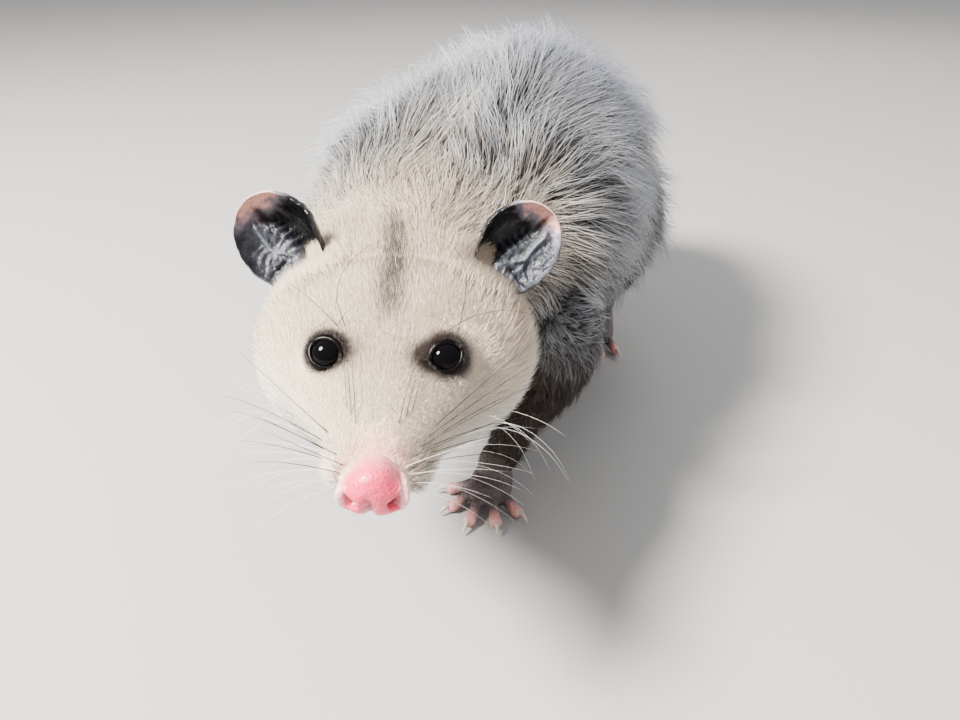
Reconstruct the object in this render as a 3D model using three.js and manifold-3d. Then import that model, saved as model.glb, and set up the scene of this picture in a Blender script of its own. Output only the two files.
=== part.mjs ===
// A Virginia opossum, life size, standing on all four feet with its head raised and turned a little
// to its left. Millimetres, +Z up, nose towards -Y, the animal's left towards +X.
// The flesh and the dense underfur are rounded forms drawn along short paths, and the long guard hair
// is flat tapered locks that grow out of those forms.
import * as THREE from "three";
import { mergeVertices } from "three/addons/utils/BufferGeometryUtils.js";
import Module from "manifold-3d";

const wasm = await Module();
wasm.setup();

// Driving dimensions. The working origin is on the floor below the point midway between the eyes.
const GAP = 0.3; // between neighbouring pieces
const SPINE_X = -9; // the trunk's middle plane
const EYE_HEIGHT = 115;
const HEAD_TURN = 17; // degrees, to the animal's left
const HEAD_ROLL = 2.5; // degrees, left side down
const HEAD_LIFT = 2; // degrees, nose up
const EYE_SPREAD = 18.5; // from the head's middle plane to an eye's centre
const EYEBALL = 6.4; // radius
const NOSE_REACH = 52; // from between the eyes to the front of the nose
const EAR_LENGTH = 38;
const EAR_WIDTH = 31;
const GUARD_HAIR = 48; // length of a lock on the back
const LOCK_WIDTH = 29;
const LOCK_THICKNESS = 4.6;
const LOCK_ROOT = 9; // how deep a lock starts below the underfur

const MATERIALS = {
  face: [0xe9dfd2, 0.9],
  coat: [0x9c9a97, 0.9],
  ruff: [0xbdb8b1, 0.9],
  limb: [0x2b2725, 0.9],
  ear: [0x1c1c21, 0.45],
  eye: [0x08080b, 0.05],
  nose: [0xf08f98, 0.4],
  foot: [0x9a7472, 0.6],
  tail_fur: [0x3a3634, 0.9],
  tail_skin: [0xcdb3a6, 0.6],
};
const material = Object.fromEntries(
  Object.entries(MATERIALS).map(([name, [color, roughness]]) => [
    name,
    new THREE.MeshStandardMaterial({ name, color, roughness, metalness: 0 }),
  ]),
);

// Shared shaping: vectors, solids and back again
const v3 = (p) => new THREE.Vector3(...p);
const radians = THREE.MathUtils.degToRad;
const opossum = new THREE.Group();

function solidOf(geometry) {
  const bare = geometry.clone();
  bare.deleteAttribute("normal");
  bare.deleteAttribute("uv");
  const merged = mergeVertices(bare, 1e-3);
  return new wasm.Manifold(
    new wasm.Mesh({
      numProp: 3,
      vertProperties: merged.attributes.position.array,
      triVerts: new Uint32Array(merged.index.array),
    }),
  );
}

const joined = (...solids) => solids.flat().reduce((all, next) => all.add(next));

// The largest closed surface of a solid, without loose scraps or sealed hollows
function largest(solid) {
  return solid.decompose().sort((a, b) => b.volume() - a.volume())[0];
}

function addPiece(name, solid, finish) {
  const { vertProperties, triVerts, numProp, numVert } = largest(solid).getMesh();
  const position = new Float32Array(numVert * 3);
  for (let i = 0; i < numVert; i++) {
    position.set(vertProperties.subarray(i * numProp, i * numProp + 3), i * 3);
  }
  const geometry = new THREE.BufferGeometry();
  geometry.setAttribute("position", new THREE.BufferAttribute(position, 3));
  geometry.setIndex(new THREE.BufferAttribute(triVerts, 1));
  geometry.computeVertexNormals();
  const mesh = new THREE.Mesh(geometry, material[finish]);
  mesh.name = name;
  opossum.add(mesh);
}

// A rounded form drawn along a path. sizes holds its half-width and half-height at each point of the
// path, round is the share of the path over which each end closes, and a belly below 1 makes the lower
// half fuller than an ellipse.
class Form {
  constructor({ path, sizes, up = [0, 0, 1], round = 0.14, belly = 1, around = 16, along = 10, place = null }) {
    Object.assign(this, { path, sizes, up, round, belly, around, along, place });
    this.spine = new THREE.CatmullRomCurve3(path.map(v3));
    this.girth = new THREE.CatmullRomCurve3(sizes.map(([w, h]) => new THREE.Vector3(w, h, 0)));
  }

  // The same form, thicker by the given amount all over
  grown(amount) {
    const path = this.path.map(v3);
    const last = path.length - 1;
    const start = path[0].clone().sub(path[1]).setLength(amount);
    const end = path[last].clone().sub(path[last - 1]).setLength(amount);
    path[0].add(start);
    path[last].add(end);
    return new Form({
      ...this,
      path: path.map((p) => p.toArray()),
      sizes: this.sizes.map(([w, h]) => [w + amount, h + amount]),
    });
  }

  // The point of the surface at a share u of the path and an angle round it, 90 degrees being the top
  point(u, angle) {
    const tangent = this.spine.getTangent(u);
    const side = new THREE.Vector3().crossVectors(tangent, v3(this.up)).normalize();
    const top = new THREE.Vector3().crossVectors(side, tangent);
    const size = this.girth.getPoint(u);
    const inset = Math.max(0, 1 - Math.min(u, 1 - u) / this.round);
    const swell = Math.sqrt(Math.max(0, 1 - inset ** 2));
    const fill = Math.sin(angle) < 0 ? this.belly : 1;
    const [across, upwards] = [Math.cos(angle), Math.sin(angle)].map((k) => Math.sign(k) * Math.abs(k) ** fill);
    const at = this.spine.getPoint(u);
    at.addScaledVector(side, -across * size.x * swell);
    at.addScaledVector(top, upwards * size.y * swell);
    return this.place ? at.applyMatrix4(this.place) : at;
  }

  // Where a hair stands at that place: its root, the way out of the skin, and the way along the body
  stance(u, angle) {
    const step = 0.01;
    const root = this.point(u, angle);
    const along = this.point(u + step, angle).sub(this.point(u - step, angle)).normalize();
    const round = this.point(u, angle + step).sub(this.point(u, angle - step));
    const out = new THREE.Vector3().crossVectors(round, along).normalize();
    return { root, out, along };
  }

  solid() {
    const geometry = new THREE.SphereGeometry(1, this.around, this.along);
    const position = geometry.getAttribute("position");
    for (let i = 0; i < position.count; i++) {
      const u = Math.acos(THREE.MathUtils.clamp(position.getY(i), -1, 1)) / Math.PI;
      const angle = Math.atan2(position.getZ(i), position.getX(i));
      const pole = u < 1e-6 || u > 1 - 1e-6;
      const p = this.point(u, pole ? 0 : angle);
      position.setXYZ(i, p.x, p.y, p.z);
    }
    return solidOf(geometry);
  }
}

const form = (spec) => new Form(spec);

// A straight-sided block that reaches a given way from a face, for cutting
function blockBeyond(facePoint, outward, size = 700) {
  const box = new THREE.BoxGeometry(size, size, size);
  box.translate(0, size / 2, 0);
  const turn = new THREE.Quaternion().setFromUnitVectors(new THREE.Vector3(0, 1, 0), v3(outward).normalize());
  box.applyMatrix4(new THREE.Matrix4().makeRotationFromQuaternion(turn).setPosition(v3(facePoint)));
  return solidOf(box);
}

const belowFloor = blockBeyond([0, 0, 0], [0, 0, -1], 1600);

// A solid parted by a thin cut across it: what lies behind the cut, and what lies beyond it
function parted(solid, point, direction) {
  const normal = v3(direction).normalize();
  const ahead = v3(point).addScaledVector(normal, -GAP / 2);
  const behind = v3(point).addScaledVector(normal, GAP / 2);
  return {
    before: solid.subtract(blockBeyond(ahead.toArray(), normal.toArray())),
    beyond: solid.subtract(blockBeyond(behind.toArray(), normal.clone().negate().toArray())),
  };
}

// Repeatable random numbers between 0 and 1
function randomFrom(seed) {
  let state = seed;
  return () => {
    state = (state * 1664525 + 1013904223) >>> 0;
    return state / 2 ** 32;
  };
}

// Head: a long wedge from the nose to the neck, in its own frame with the origin between the eyes
const headFrame = new THREE.Matrix4()
  .makeTranslation(0, 0, EYE_HEIGHT)
  .multiply(new THREE.Matrix4().makeRotationZ(radians(HEAD_TURN)))
  .multiply(new THREE.Matrix4().makeRotationX(radians(-HEAD_LIFT)))
  .multiply(new THREE.Matrix4().makeRotationY(radians(HEAD_ROLL)));
const inHead = (p) => v3(p).applyMatrix4(headFrame).toArray();

const skull = form({
  place: headFrame,
  path: [
    [0, -NOSE_REACH + 2, -13.5],
    [0, -38, -13.6],
    [0, -22, -13.8],
    [0, -5, -14.5],
    [0, 12, -15],
    [0, 30, -14.5],
    [0, 50, -13],
    [0, 72, -13],
    [0, 92, -14],
  ],
  sizes: [[8, 5.5], [13.5, 10], [21.5, 15], [33, 21], [44, 28], [50, 33], [50, 33.5], [44, 32], [32, 27]],
  round: 0.07,
  belly: 0.86,
  around: 20,
  along: 16,
});
const mirrored = [-1, 1];
const lowerJaw = form({
  place: headFrame,
  path: [[0, -NOSE_REACH + 9, -22.5], [0, -26, -25.5], [0, -6, -31], [0, 22, -35]],
  sizes: [[6, 4], [11, 6], [17, 8], [27, 11]],
  round: 0.2,
  around: 12,
  along: 7,
});

// The mouth line runs back from under the nose to below the eye, between two low lips
const mouthLine = mirrored.map((side) => {
  const line = [
    [side * 1, -NOSE_REACH + 3, -19.5],
    [side * 8, -NOSE_REACH + 8, -19.2],
    [side * 14.2, -30, -21.2],
    [side * 20.5, -14, -24],
    [side * 27, 0, -26],
  ];
  return new THREE.CatmullRomCurve3(line.map(v3));
});
function tubeAlong(curve, radius) {
  const section = new THREE.Shape().absarc(0, 0, radius, 0, 2 * Math.PI);
  const tube = new THREE.ExtrudeGeometry(section, { extrudePath: curve, steps: 6, curveSegments: 3 });
  return solidOf(tube.applyMatrix4(headFrame));
}
const lips = mouthLine.map((curve) => tubeAlong(curve, 1.9));
const mouthGrooves = mouthLine.map((curve) => tubeAlong(curve, 0.75));

// Eyes: round balls that stand a little proud of the face, each inside a low ring of lids
const eyeCentre = (side) => [side * EYE_SPREAD, -2.2, 0.4];
const eyeLooks = (side) => new THREE.Vector3(side * 0.38, -0.74, 0.55).normalize();
function eyeball(side, radius) {
  const ball = new THREE.SphereGeometry(radius, 12, 8).translate(...eyeCentre(side));
  return solidOf(ball.applyMatrix4(headFrame));
}
// The way out of the skull in front of an eye
function eyeWindow(side) {
  const window = new THREE.CylinderGeometry(5, 4.2, 14, 12).translate(0, 7, 0);
  window.applyQuaternion(new THREE.Quaternion().setFromUnitVectors(new THREE.Vector3(0, 1, 0), eyeLooks(side)));
  return solidOf(window.translate(...eyeCentre(side)).applyMatrix4(headFrame));
}
function lids(side) {
  const ring = new THREE.TorusGeometry(EYEBALL * 0.97, 1.7, 5, 12);
  ring.scale(1.06, 1, 1);
  const turn = new THREE.Quaternion().setFromUnitVectors(new THREE.Vector3(0, 0, 1), eyeLooks(side));
  ring.applyQuaternion(turn);
  const seat = v3(eyeCentre(side)).addScaledVector(eyeLooks(side), EYEBALL * 0.52);
  return solidOf(ring.translate(...seat.toArray()).applyMatrix4(headFrame));
}

// Nose: a broad moist pad with a groove down its middle and a comma-shaped nostril on each side
const nosePad = form({
  place: headFrame,
  path: [[0.5, -NOSE_REACH + 8, -11.8], [0.5, -NOSE_REACH + 0.5, -12.8], [0.5, -NOSE_REACH - 6.5, -14]],
  sizes: [[8.4, 7], [9.5, 8.2], [6.8, 6]],
  round: 0.36,
  around: 14,
  along: 8,
});
function noseCuts() {
  const philtrum = new THREE.BoxGeometry(0.9, 6, 9).translate(0.5, -NOSE_REACH - 7.6, -18);
  const nostrils = mirrored.flatMap((side) => [
    new THREE.SphereGeometry(2.3, 7, 5).scale(1, 1.5, 0.8).translate(0.5 + side * 5, -NOSE_REACH - 6, -15),
    new THREE.SphereGeometry(1.5, 6, 5).scale(1, 2.2, 0.9).translate(0.5 + side * 9, -NOSE_REACH - 1, -13),
  ]);
  return [philtrum, ...nostrils].map((g) => solidOf(g.applyMatrix4(headFrame)));
}

// Ears: thin naked leathery cups, open to the front and outwards
const earRoot = (side) => [side * 33, 44, 9];
function earFrame(side) {
  const length = new THREE.Vector3(side * 0.62, 0.24, 0.75).normalize();
  const face = new THREE.Vector3(side * 0.3, -0.93, 0.2);
  face.addScaledVector(length, -face.dot(length)).normalize();
  const across = new THREE.Vector3().crossVectors(face.clone().negate(), length);
  return new THREE.Matrix4()
    .makeBasis(across, face.clone().negate(), length)
    .setPosition(v3(earRoot(side)))
    .premultiply(headFrame);
}
function ear(side) {
  const frame = earFrame(side);
  const [halfWidth, halfLength, depth, wall] = [EAR_WIDTH / 2, EAR_LENGTH / 2, 9.5, 1.3];
  const middle = halfLength - 4;
  const shell = new THREE.SphereGeometry(1, 12, 8).scale(halfWidth, depth, halfLength);
  const hollow = new THREE.SphereGeometry(1, 12, 8);
  hollow.scale(halfWidth - wall, depth + 0.6, halfLength - wall).translate(0, -2.4, middle + 0.4);
  const foot = form({
    place: frame,
    path: [[0, 3, -9], [0, 4, 0], [0, 4.5, 8]],
    sizes: [[9, 6], [8, 5.5], [6, 3.5]],
    around: 10,
    along: 5,
    up: [0, 1, 0],
  });
  const ridges = [-0.42, 0.05, 0.5].map((lean) =>
    form({
      place: frame,
      path: [[lean * 8, 5.4, 6], [lean * 12, 6.6, middle], [lean * 18, 4.6, middle + 10]],
      sizes: [[1.2, 1.8], [1.1, 1.8], [0.8, 1.2]],
      around: 5,
      along: 4,
      up: [0, 1, 0],
    }),
  );
  shell.translate(0, 0, middle);
  const cup = solidOf(shell.applyMatrix4(frame)).subtract(solidOf(hollow.applyMatrix4(frame)));
  return joined(cup, foot.solid(), ridges.map((r) => r.solid()));
}

// Neck and trunk: the trunk is pear-shaped, with a high rounded back and the widest part at the hips
const neck = form({
  path: [inHead([0, 40, -16]), [-19, 62, 108], [-20, 84, 108], [SPINE_X - 10, 112, 108]],
  sizes: [[34, 24], [45, 34], [57, 44], [63, 51]],
  around: 18,
  along: 7,
});
const trunk = form({
  path: [
    [SPINE_X - 10, 82, 108],
    [SPINE_X - 10, 104, 107],
    [SPINE_X - 6, 140, 107],
    [SPINE_X, 190, 109],
    [SPINE_X, 238, 109],
    [SPINE_X, 284, 103],
    [SPINE_X, 318, 94],
    [SPINE_X, 342, 88],
  ],
  sizes: [[54, 44], [65, 56], [67, 66], [63, 70], [63, 68], [57, 60], [43, 45], [27, 29]],
  round: 0.16,
  belly: 0.72,
  around: 22,
  along: 13,
});

// Legs: short and thick at the top, thin at the wrist and heel
const LEGS = {
  front_left: {
    path: [[SPINE_X + 36, 98, 98], [SPINE_X + 48, 110, 74], [SPINE_X + 43, 112, 50], [SPINE_X + 29, 97, 31], [12, 88, 5]],
    sizes: [[24, 26], [21, 23], [17, 18], [12, 12], [9, 9]],
    cut: 0.5,
    foot: { at: [12, 79], turn: 4 },
  },
  front_right: {
    path: [[SPINE_X - 42, 98, 98], [SPINE_X - 55, 114, 74], [SPINE_X - 49, 124, 50], [SPINE_X - 35, 129, 31], [-43, 127, 5]],
    sizes: [[24, 26], [21, 23], [17, 18], [12, 12], [9, 9]],
    cut: 0.5,
    foot: { at: [-43, 117], turn: -4 },
  },
  hind_left: {
    path: [[SPINE_X + 38, 268, 102], [SPINE_X + 53, 246, 78], [SPINE_X + 52, 240, 54], [SPINE_X + 44, 264, 31], [SPINE_X + 42, 276, 5]],
    sizes: [[30, 36], [26, 32], [18, 22], [11.5, 12.5], [9.5, 10]],
    cut: 0.54,
    foot: { at: [SPINE_X + 42, 268], turn: 5 },
  },
  hind_right: {
    path: [[SPINE_X - 38, 280, 102], [SPINE_X - 53, 264, 78], [SPINE_X - 52, 262, 54], [SPINE_X - 46, 286, 31], [SPINE_X - 46, 296, 5]],
    sizes: [[30, 36], [26, 32], [18, 22], [11.5, 12.5], [9.5, 10]],
    cut: 0.54,
    foot: { at: [SPINE_X - 46, 288], turn: -5 },
  },
};
const legForm = ({ path, sizes }) => form({ path, sizes, up: [0, -1, 0], round: 0.12, around: 11, along: 9 });

// Feet: a low palm or sole with five spread digits, each with a claw but for the hind thumb.
// In a foot's own frame it points along -Y, and inner is +1 where its inner side is +X.
const HAND = {
  sole: {
    path: [[0, 15, 6.5], [0, 3, 5.6], [0, -9, 4.2]],
    sizes: [[8.5, 7.5], [10, 6.8], [9.5, 5.4]],
  },
  digits: [
    { heading: 78, base: [6, 2], length: 15, girth: 3 },
    { heading: 44, base: [6, -4], length: 15, girth: 3 },
    { heading: 10, base: [2.5, -8], length: 16, girth: 3 },
    { heading: -20, base: [-2.5, -8], length: 15, girth: 3 },
    { heading: -52, base: [-6, -4], length: 14, girth: 3 },
  ],
};
const HIND_FOOT = {
  sole: {
    path: [[0, 17, 7], [0, 4, 6.6], [0, -16, 4.8], [0, -30, 4.2]],
    sizes: [[9, 8], [9.5, 7.8], [11, 6], [10, 5.4]],
  },
  digits: [
    { heading: 98, base: [5, -12], length: 19, girth: 3.8, bare: true },
    { heading: 22, base: [6.5, -26], length: 16, girth: 3 },
    { heading: 6, base: [2.5, -29], length: 18, girth: 3 },
    { heading: -10, base: [-2.5, -29], length: 17, girth: 3 },
    { heading: -30, base: [-7, -25], length: 15, girth: 2.9 },
  ],
};
function footSolid(kind, { at, turn }, inner) {
  const place = new THREE.Matrix4().makeTranslation(at[0], at[1], 0);
  place.multiply(new THREE.Matrix4().makeRotationZ(radians(turn)));
  const sole = form({ place, ...kind.sole, around: 12, along: 7, round: 0.2 });
  const digits = kind.digits.map(({ heading, base, length, girth, bare }) => {
    const way = new THREE.Vector3(inner * Math.sin(radians(heading)), -Math.cos(radians(heading)), 0);
    const from = new THREE.Vector3(inner * base[0], base[1], 4.4);
    const reach = (share, z) => from.clone().addScaledVector(way, share * length).setZ(z).toArray();
    const digit = form({
      place,
      path: [reach(-0.25, 4.6), reach(0.3, 5), reach(0.7, 3.6), reach(1, girth * 0.82)],
      sizes: [[girth, girth], [girth, girth], [girth * 0.92, girth * 0.9], [girth, girth * 0.95]],
      around: 6,
      along: 4,
      round: 0.22,
    });
    if (bare) return digit.solid();
    const claw = form({
      place,
      path: [reach(0.9, girth), reach(1.12, girth * 1.1), reach(1.3, girth * 0.45)],
      sizes: [[1.2, 1.4], [1, 1.1], [0.35, 0.35]],
      around: 4,
      along: 3,
      round: 0.2,
    });
    return digit.solid().add(claw.solid());
  });
  return joined(sole.solid(), digits).subtract(belowFloor);
}

// Tail: furred and thick at the root, then bare and scaly, laid on the floor in a slow curve
const tail = form({
  path: [
    [SPINE_X, 312, 92],
    [SPINE_X, 350, 80],
    [SPINE_X + 2, 380, 57],
    [SPINE_X + 6, 410, 31],
    [SPINE_X + 11, 446, 13],
    [SPINE_X + 15, 488, 8.2],
    [SPINE_X + 11, 534, 6.7],
    [SPINE_X - 5, 576, 5.2],
    [SPINE_X - 30, 604, 3.6],
  ],
  sizes: [[17, 17], [13.5, 13.5], [10.8, 10.8], [9.8, 9.8], [9.2, 9.2], [8.4, 8.4], [7, 7], [5.5, 5.5], [3.8, 3.8]],
  around: 11,
  along: 24,
  round: 0.04,
});

// A lock of guard hair: flat, four-sided and tapering to a point. It rises from its root and bends over
// along the lie of the coat, which runs back along the body and falls down its sides.
function lock({ root, out, along }, { length, width, lift, fall, sway }, grow = 0) {
  const lie = along.clone().addScaledVector(new THREE.Vector3(0, 0, -1), fall);
  lie.addScaledVector(out, -lie.dot(out)).normalize();
  lie.addScaledVector(new THREE.Vector3().crossVectors(out, lie), sway).normalize();
  const rise = lie.clone().multiplyScalar(Math.cos(lift)).addScaledVector(out, Math.sin(lift));
  const start = root.clone().addScaledVector(rise, -LOCK_ROOT);
  const bend = root.clone().addScaledVector(rise, length * 0.5);
  const tip = bend.clone().addScaledVector(lie, length * 0.5);
  const curve = new THREE.QuadraticBezierCurve3(start, bend, tip);
  const taper = curve.getPoint(1).sub(curve.getPoint(2 / 3)).normalize();
  const geometry = new THREE.CylinderGeometry(0, 1, 1, 4, 3);
  const position = geometry.getAttribute("position");
  const side = new THREE.Vector3().crossVectors(out, lie).normalize();
  for (let i = 0; i < position.count; i++) {
    const t = position.getY(i) + 0.5;
    const [x, z] = [position.getX(i), position.getZ(i)];
    const ring = Math.hypot(x, z) || 1;
    const fullness = t < 0.4 ? 0.7 + 0.75 * t : 1 - ((t - 0.4) / 0.6) ** 1.5;
    const flat = new THREE.Vector3().crossVectors(side, curve.getTangent(t));
    const p = curve.getPoint(t);
    if (t < 0.999) {
      p.addScaledVector(side, (x / ring) * ((width / 2) * fullness + grow * 2));
      p.addScaledVector(flat, (z / ring) * ((LOCK_THICKNESS / 2) * fullness + grow * 1.5));
    } else {
      p.addScaledVector(taper, grow * 10);
    }
    position.setXYZ(i, p.x, p.y, p.z);
  }
  return solidOf(geometry);
}

// Locks set in staggered rows on a form. rows are shares of its path, and each row runs round the form
// between two angles in degrees.
function coatOf(host, { rows, perRow, from, to, seed, keep = () => true, ...kind }) {
  const random = randomFrom(seed);
  const vary = (spread) => (random() - 0.5) * 2 * spread;
  return rows.flatMap((u, row) =>
    Array.from({ length: perRow }, (_, i) => {
      const share = (i + 0.25 + 0.5 * (row % 2) + vary(0.16)) / perRow;
      const angle = radians(THREE.MathUtils.lerp(from, to, share));
      const stance = host.stance(u + vary(0.012), angle);
      const size = 1 + vary(0.14);
      return {
        stance,
        look: {
          length: kind.length * size,
          width: kind.width * (1 + vary(0.16)),
          lift: radians(kind.lift + vary(5)),
          fall: kind.fall,
          sway: vary(0.16),
        },
      };
    }),
  ).filter(({ stance }) => keep(stance.root));
}
const locks = (list, grow = 0) => list.map(({ stance, look }) => lock(stance, look, grow));

// Head and its fittings
const headCore = joined(skull.solid(), lowerJaw.solid(), lips, mirrored.map(lids))
  .subtract(joined(mouthGrooves, mirrored.map(eyeWindow)))
  .subtract(joined(mirrored.map((side) => eyeball(side, EYEBALL + GAP))));
const HEAD_SEAM = inHead([0, 58, -12]);
const headBack = v3(inHead([0, 1, 0])).sub(v3(inHead([0, 0, 0])));
const head = parted(headCore, HEAD_SEAM, headBack.toArray()).before;
addPiece("head", head.subtract(nosePad.grown(GAP).solid()), "face");
addPiece("nose", nosePad.solid().subtract(joined(noseCuts())), "nose");

// Neck and trunk. The ruff's locks lie over the trunk, and the trunk's over the legs and the tail.
const TRUNK_SEAM = [SPINE_X, 100, 112];
const earRoots = mirrored.map((side) => v3(inHead(earRoot(side))));
const ruffLocks = coatOf(neck, {
  rows: [0.5, 0.68, 0.84],
  perRow: 9,
  from: -35,
  to: 215,
  seed: 11,
  keep: (root) => root.y > 66 && root.y < 96 && earRoots.every((ear) => ear.distanceTo(root) > 30),
  length: GUARD_HAIR * 0.85,
  width: LOCK_WIDTH,
  lift: 28,
  fall: 0.5,
});
const backLocks = coatOf(trunk, {
  rows: [0.14, 0.24, 0.34, 0.44, 0.54, 0.64, 0.74, 0.84],
  perRow: 9,
  from: -44,
  to: 224,
  seed: 23,
  keep: (root) => root.y > 110,
  length: GUARD_HAIR,
  width: LOCK_WIDTH,
  lift: 27,
  fall: 0.55,
});
const bellyLocks = coatOf(trunk, {
  rows: [0.3, 0.5, 0.7],
  perRow: 3,
  from: 242,
  to: 298,
  seed: 37,
  length: GUARD_HAIR * 0.7,
  width: LOCK_WIDTH,
  lift: 12,
  fall: 0,
});
const core = joined(neck.solid(), trunk.solid());
const { before: neckCore, beyond: trunkCore } = parted(core, TRUNK_SEAM, [0, 1, 0]);
const ruffClear = joined(locks(ruffLocks, GAP));
const trunkLocks = [...backLocks, ...bellyLocks];
const neckPiece = joined(neckCore, locks(ruffLocks));
addPiece("neck", parted(neckPiece, HEAD_SEAM, headBack.toArray()).beyond, "ruff");
addPiece("torso", joined(trunkCore, locks(trunkLocks)).subtract(ruffClear).subtract(neck.grown(GAP).solid()), "coat");
const trunkClear = joined(neck.grown(GAP).solid(), trunk.grown(GAP).solid(), ruffClear, locks(trunkLocks, GAP));

const headClear = joined(skull.grown(GAP).solid(), neck.grown(GAP).solid(), ruffClear);
for (const [name, side] of [["left", 1], ["right", -1]]) {
  addPiece("eye_" + name, eyeball(side, EYEBALL), "eye");
  addPiece("ear_" + name, ear(side).subtract(headClear), "ear");
}

// Legs and feet: the thighs and shoulders carry locks that hang over the shanks
const ANKLE = 15; // height of the cut above a foot
for (const [name, leg] of Object.entries(LEGS)) {
  const inner = name.endsWith("left") ? -1 : 1;
  const foot = footSolid(name.startsWith("front") ? HAND : HIND_FOOT, leg.foot, inner);
  const limb = legForm(leg);
  const knee = limb.spine.getPoint(leg.cut);
  const legLocks = coatOf(limb, {
    rows: [leg.cut - 0.26, leg.cut - 0.12],
    perRow: 3,
    from: inner < 0 ? 100 : -80,
    to: inner < 0 ? 260 : 80,
    seed: 53,
    length: GUARD_HAIR * 0.62,
    width: LOCK_WIDTH * 0.8,
    lift: 16,
    fall: 0.3,
  });
  const { before, beyond } = parted(limb.solid(), knee.toArray(), limb.spine.getTangent(leg.cut).toArray());
  const ankle = parted(joined(beyond.subtract(belowFloor), foot), [0, 0, ANKLE], [0, 0, -1]);
  addPiece(name + "_upper_leg", joined(before, locks(legLocks)).subtract(trunkClear), "limb");
  addPiece(name + "_lower_leg", ankle.before.subtract(joined(trunkClear, locks(legLocks, GAP))), "limb");
  addPiece(name + "_foot", ankle.beyond, "foot");
}

const tailSolid = tail.solid().subtract(trunkClear).subtract(belowFloor);
const tailCuts = [0.22, 0.6].map((u) => [tail.spine.getPoint(u).toArray(), tail.spine.getTangent(u).toArray()]);
const tailRoot = parted(tailSolid, ...tailCuts[0]);
const tailRest = parted(tailRoot.beyond, ...tailCuts[1]);
addPiece("tail_root", tailRoot.before, "tail_fur");
addPiece("tail_middle", tailRest.before, "tail_skin");
addPiece("tail_tip", tailRest.beyond, "tail_skin");

// The finished model's origin is in the middle of its footprint, on the floor
const bounds = new THREE.Box3().setFromObject(opossum);
const middle = bounds.getCenter(new THREE.Vector3());
for (const piece of opossum.children) piece.geometry.translate(-middle.x, -middle.y, -bounds.min.z);

export default opossum;
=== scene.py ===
import math

import bpy
import numpy as np
from mathutils import Matrix, Vector, bvhtree, kdtree, noise


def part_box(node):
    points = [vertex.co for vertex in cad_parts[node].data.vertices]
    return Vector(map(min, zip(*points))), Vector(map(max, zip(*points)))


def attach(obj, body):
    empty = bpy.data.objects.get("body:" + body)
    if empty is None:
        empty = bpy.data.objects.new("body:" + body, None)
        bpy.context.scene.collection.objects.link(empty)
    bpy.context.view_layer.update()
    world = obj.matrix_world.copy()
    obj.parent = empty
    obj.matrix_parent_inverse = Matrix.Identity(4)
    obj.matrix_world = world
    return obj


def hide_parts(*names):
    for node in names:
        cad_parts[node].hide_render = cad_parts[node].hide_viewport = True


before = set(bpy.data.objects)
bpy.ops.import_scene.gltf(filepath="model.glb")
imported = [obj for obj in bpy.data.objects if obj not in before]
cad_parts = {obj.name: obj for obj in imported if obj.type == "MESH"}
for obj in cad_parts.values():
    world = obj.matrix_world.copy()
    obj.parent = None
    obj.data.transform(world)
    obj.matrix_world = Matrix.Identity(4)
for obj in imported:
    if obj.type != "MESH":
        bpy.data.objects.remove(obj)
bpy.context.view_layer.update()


# The camera stands a little above the opossum, ahead of it and to its left, as the photograph does.
# It is placed from the point midway between the eyes, and looks down at the turned head.
VIEW_TURN = math.radians(16)
VIEW_DROP = math.radians(29)


def middle(node):
    low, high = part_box(node)
    return (np.array(low) + np.array(high)) / 2


between_eyes = (middle("eye_left") + middle("eye_right")) / 2
across_view = np.array([math.cos(VIEW_TURN), math.sin(VIEW_TURN), 0])
along_view = np.array([-math.sin(VIEW_TURN), math.cos(VIEW_TURN), 0])
camera_data = bpy.data.cameras.new("camera")
camera_data.lens = 30
camera_data.sensor_width = 36
camera_data.clip_start = 0.01
camera = bpy.data.objects.new("camera", camera_data)
bpy.context.collection.objects.link(camera)
camera.location = between_eyes + 0.0289 * across_view - 0.2184 * along_view + [0, 0, 0.1201]
camera.rotation_euler = (math.pi / 2 - VIEW_DROP, 0, VIEW_TURN)
bpy.context.scene.camera = camera


# The light is soft: a broad lamp high on the left of the view, a weak one opposite, and a pale room.
# The floor is one plain pale sheet that runs out past everything the camera sees.
def soft_lamp(name, offset, size, power, colour=(1, 1, 1), target=(0, 0, 0)):
    data = bpy.data.lights.new(name, "AREA")
    data.shape = "DISK"
    data.size, data.energy, data.color = size, power, colour
    lamp = bpy.data.objects.new(name, data)
    bpy.context.collection.objects.link(lamp)
    lamp.location = Vector(between_eyes) + Vector(offset)
    lamp.rotation_euler = (Vector(target) - Vector(offset)).to_track_quat("-Z", "Y").to_euler()
    return lamp


def material(name, roughness, **inputs):
    made = bpy.data.materials.new(name)
    made.use_nodes = True
    shader = made.node_tree.nodes["Principled BSDF"]
    for key, value in {"Roughness": roughness, **inputs}.items():
        shader.inputs[key.replace("_", " ")].default_value = value
    return made, made.node_tree, shader


soft_lamp("key_lamp", (-0.8, -0.6, 1.15), 0.5, 195, (1.0, 0.955, 0.9))
soft_lamp("fill_lamp", (1.3, -0.2, 0.7), 1.4, 9).visible_glossy = False
soft_lamp("back_lamp", (0.1, 1.6, 1.2), 1.2, 20, target=(0, 0.15, 0)).visible_glossy = False
world = bpy.data.worlds.new("pale_room")
world.use_nodes = True
world.node_tree.nodes["Background"].inputs["Color"].default_value = (0.93, 0.95, 1.0, 1)
world.node_tree.nodes["Background"].inputs["Strength"].default_value = 0.72
bpy.context.scene.world = world

bpy.ops.object.select_all(action="DESELECT")
bpy.ops.mesh.primitive_plane_add(size=14, location=(0, 4, 0))
floor = bpy.context.object
floor.name = "floor"
bpy.ops.object.transform_apply(location=True, rotation=True, scale=True)
floor_finish, _, _ = material("pale_floor", 0.75, Base_Color=(0.36, 0.35, 0.335, 1))
floor.data.materials.append(floor_finish)


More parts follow.
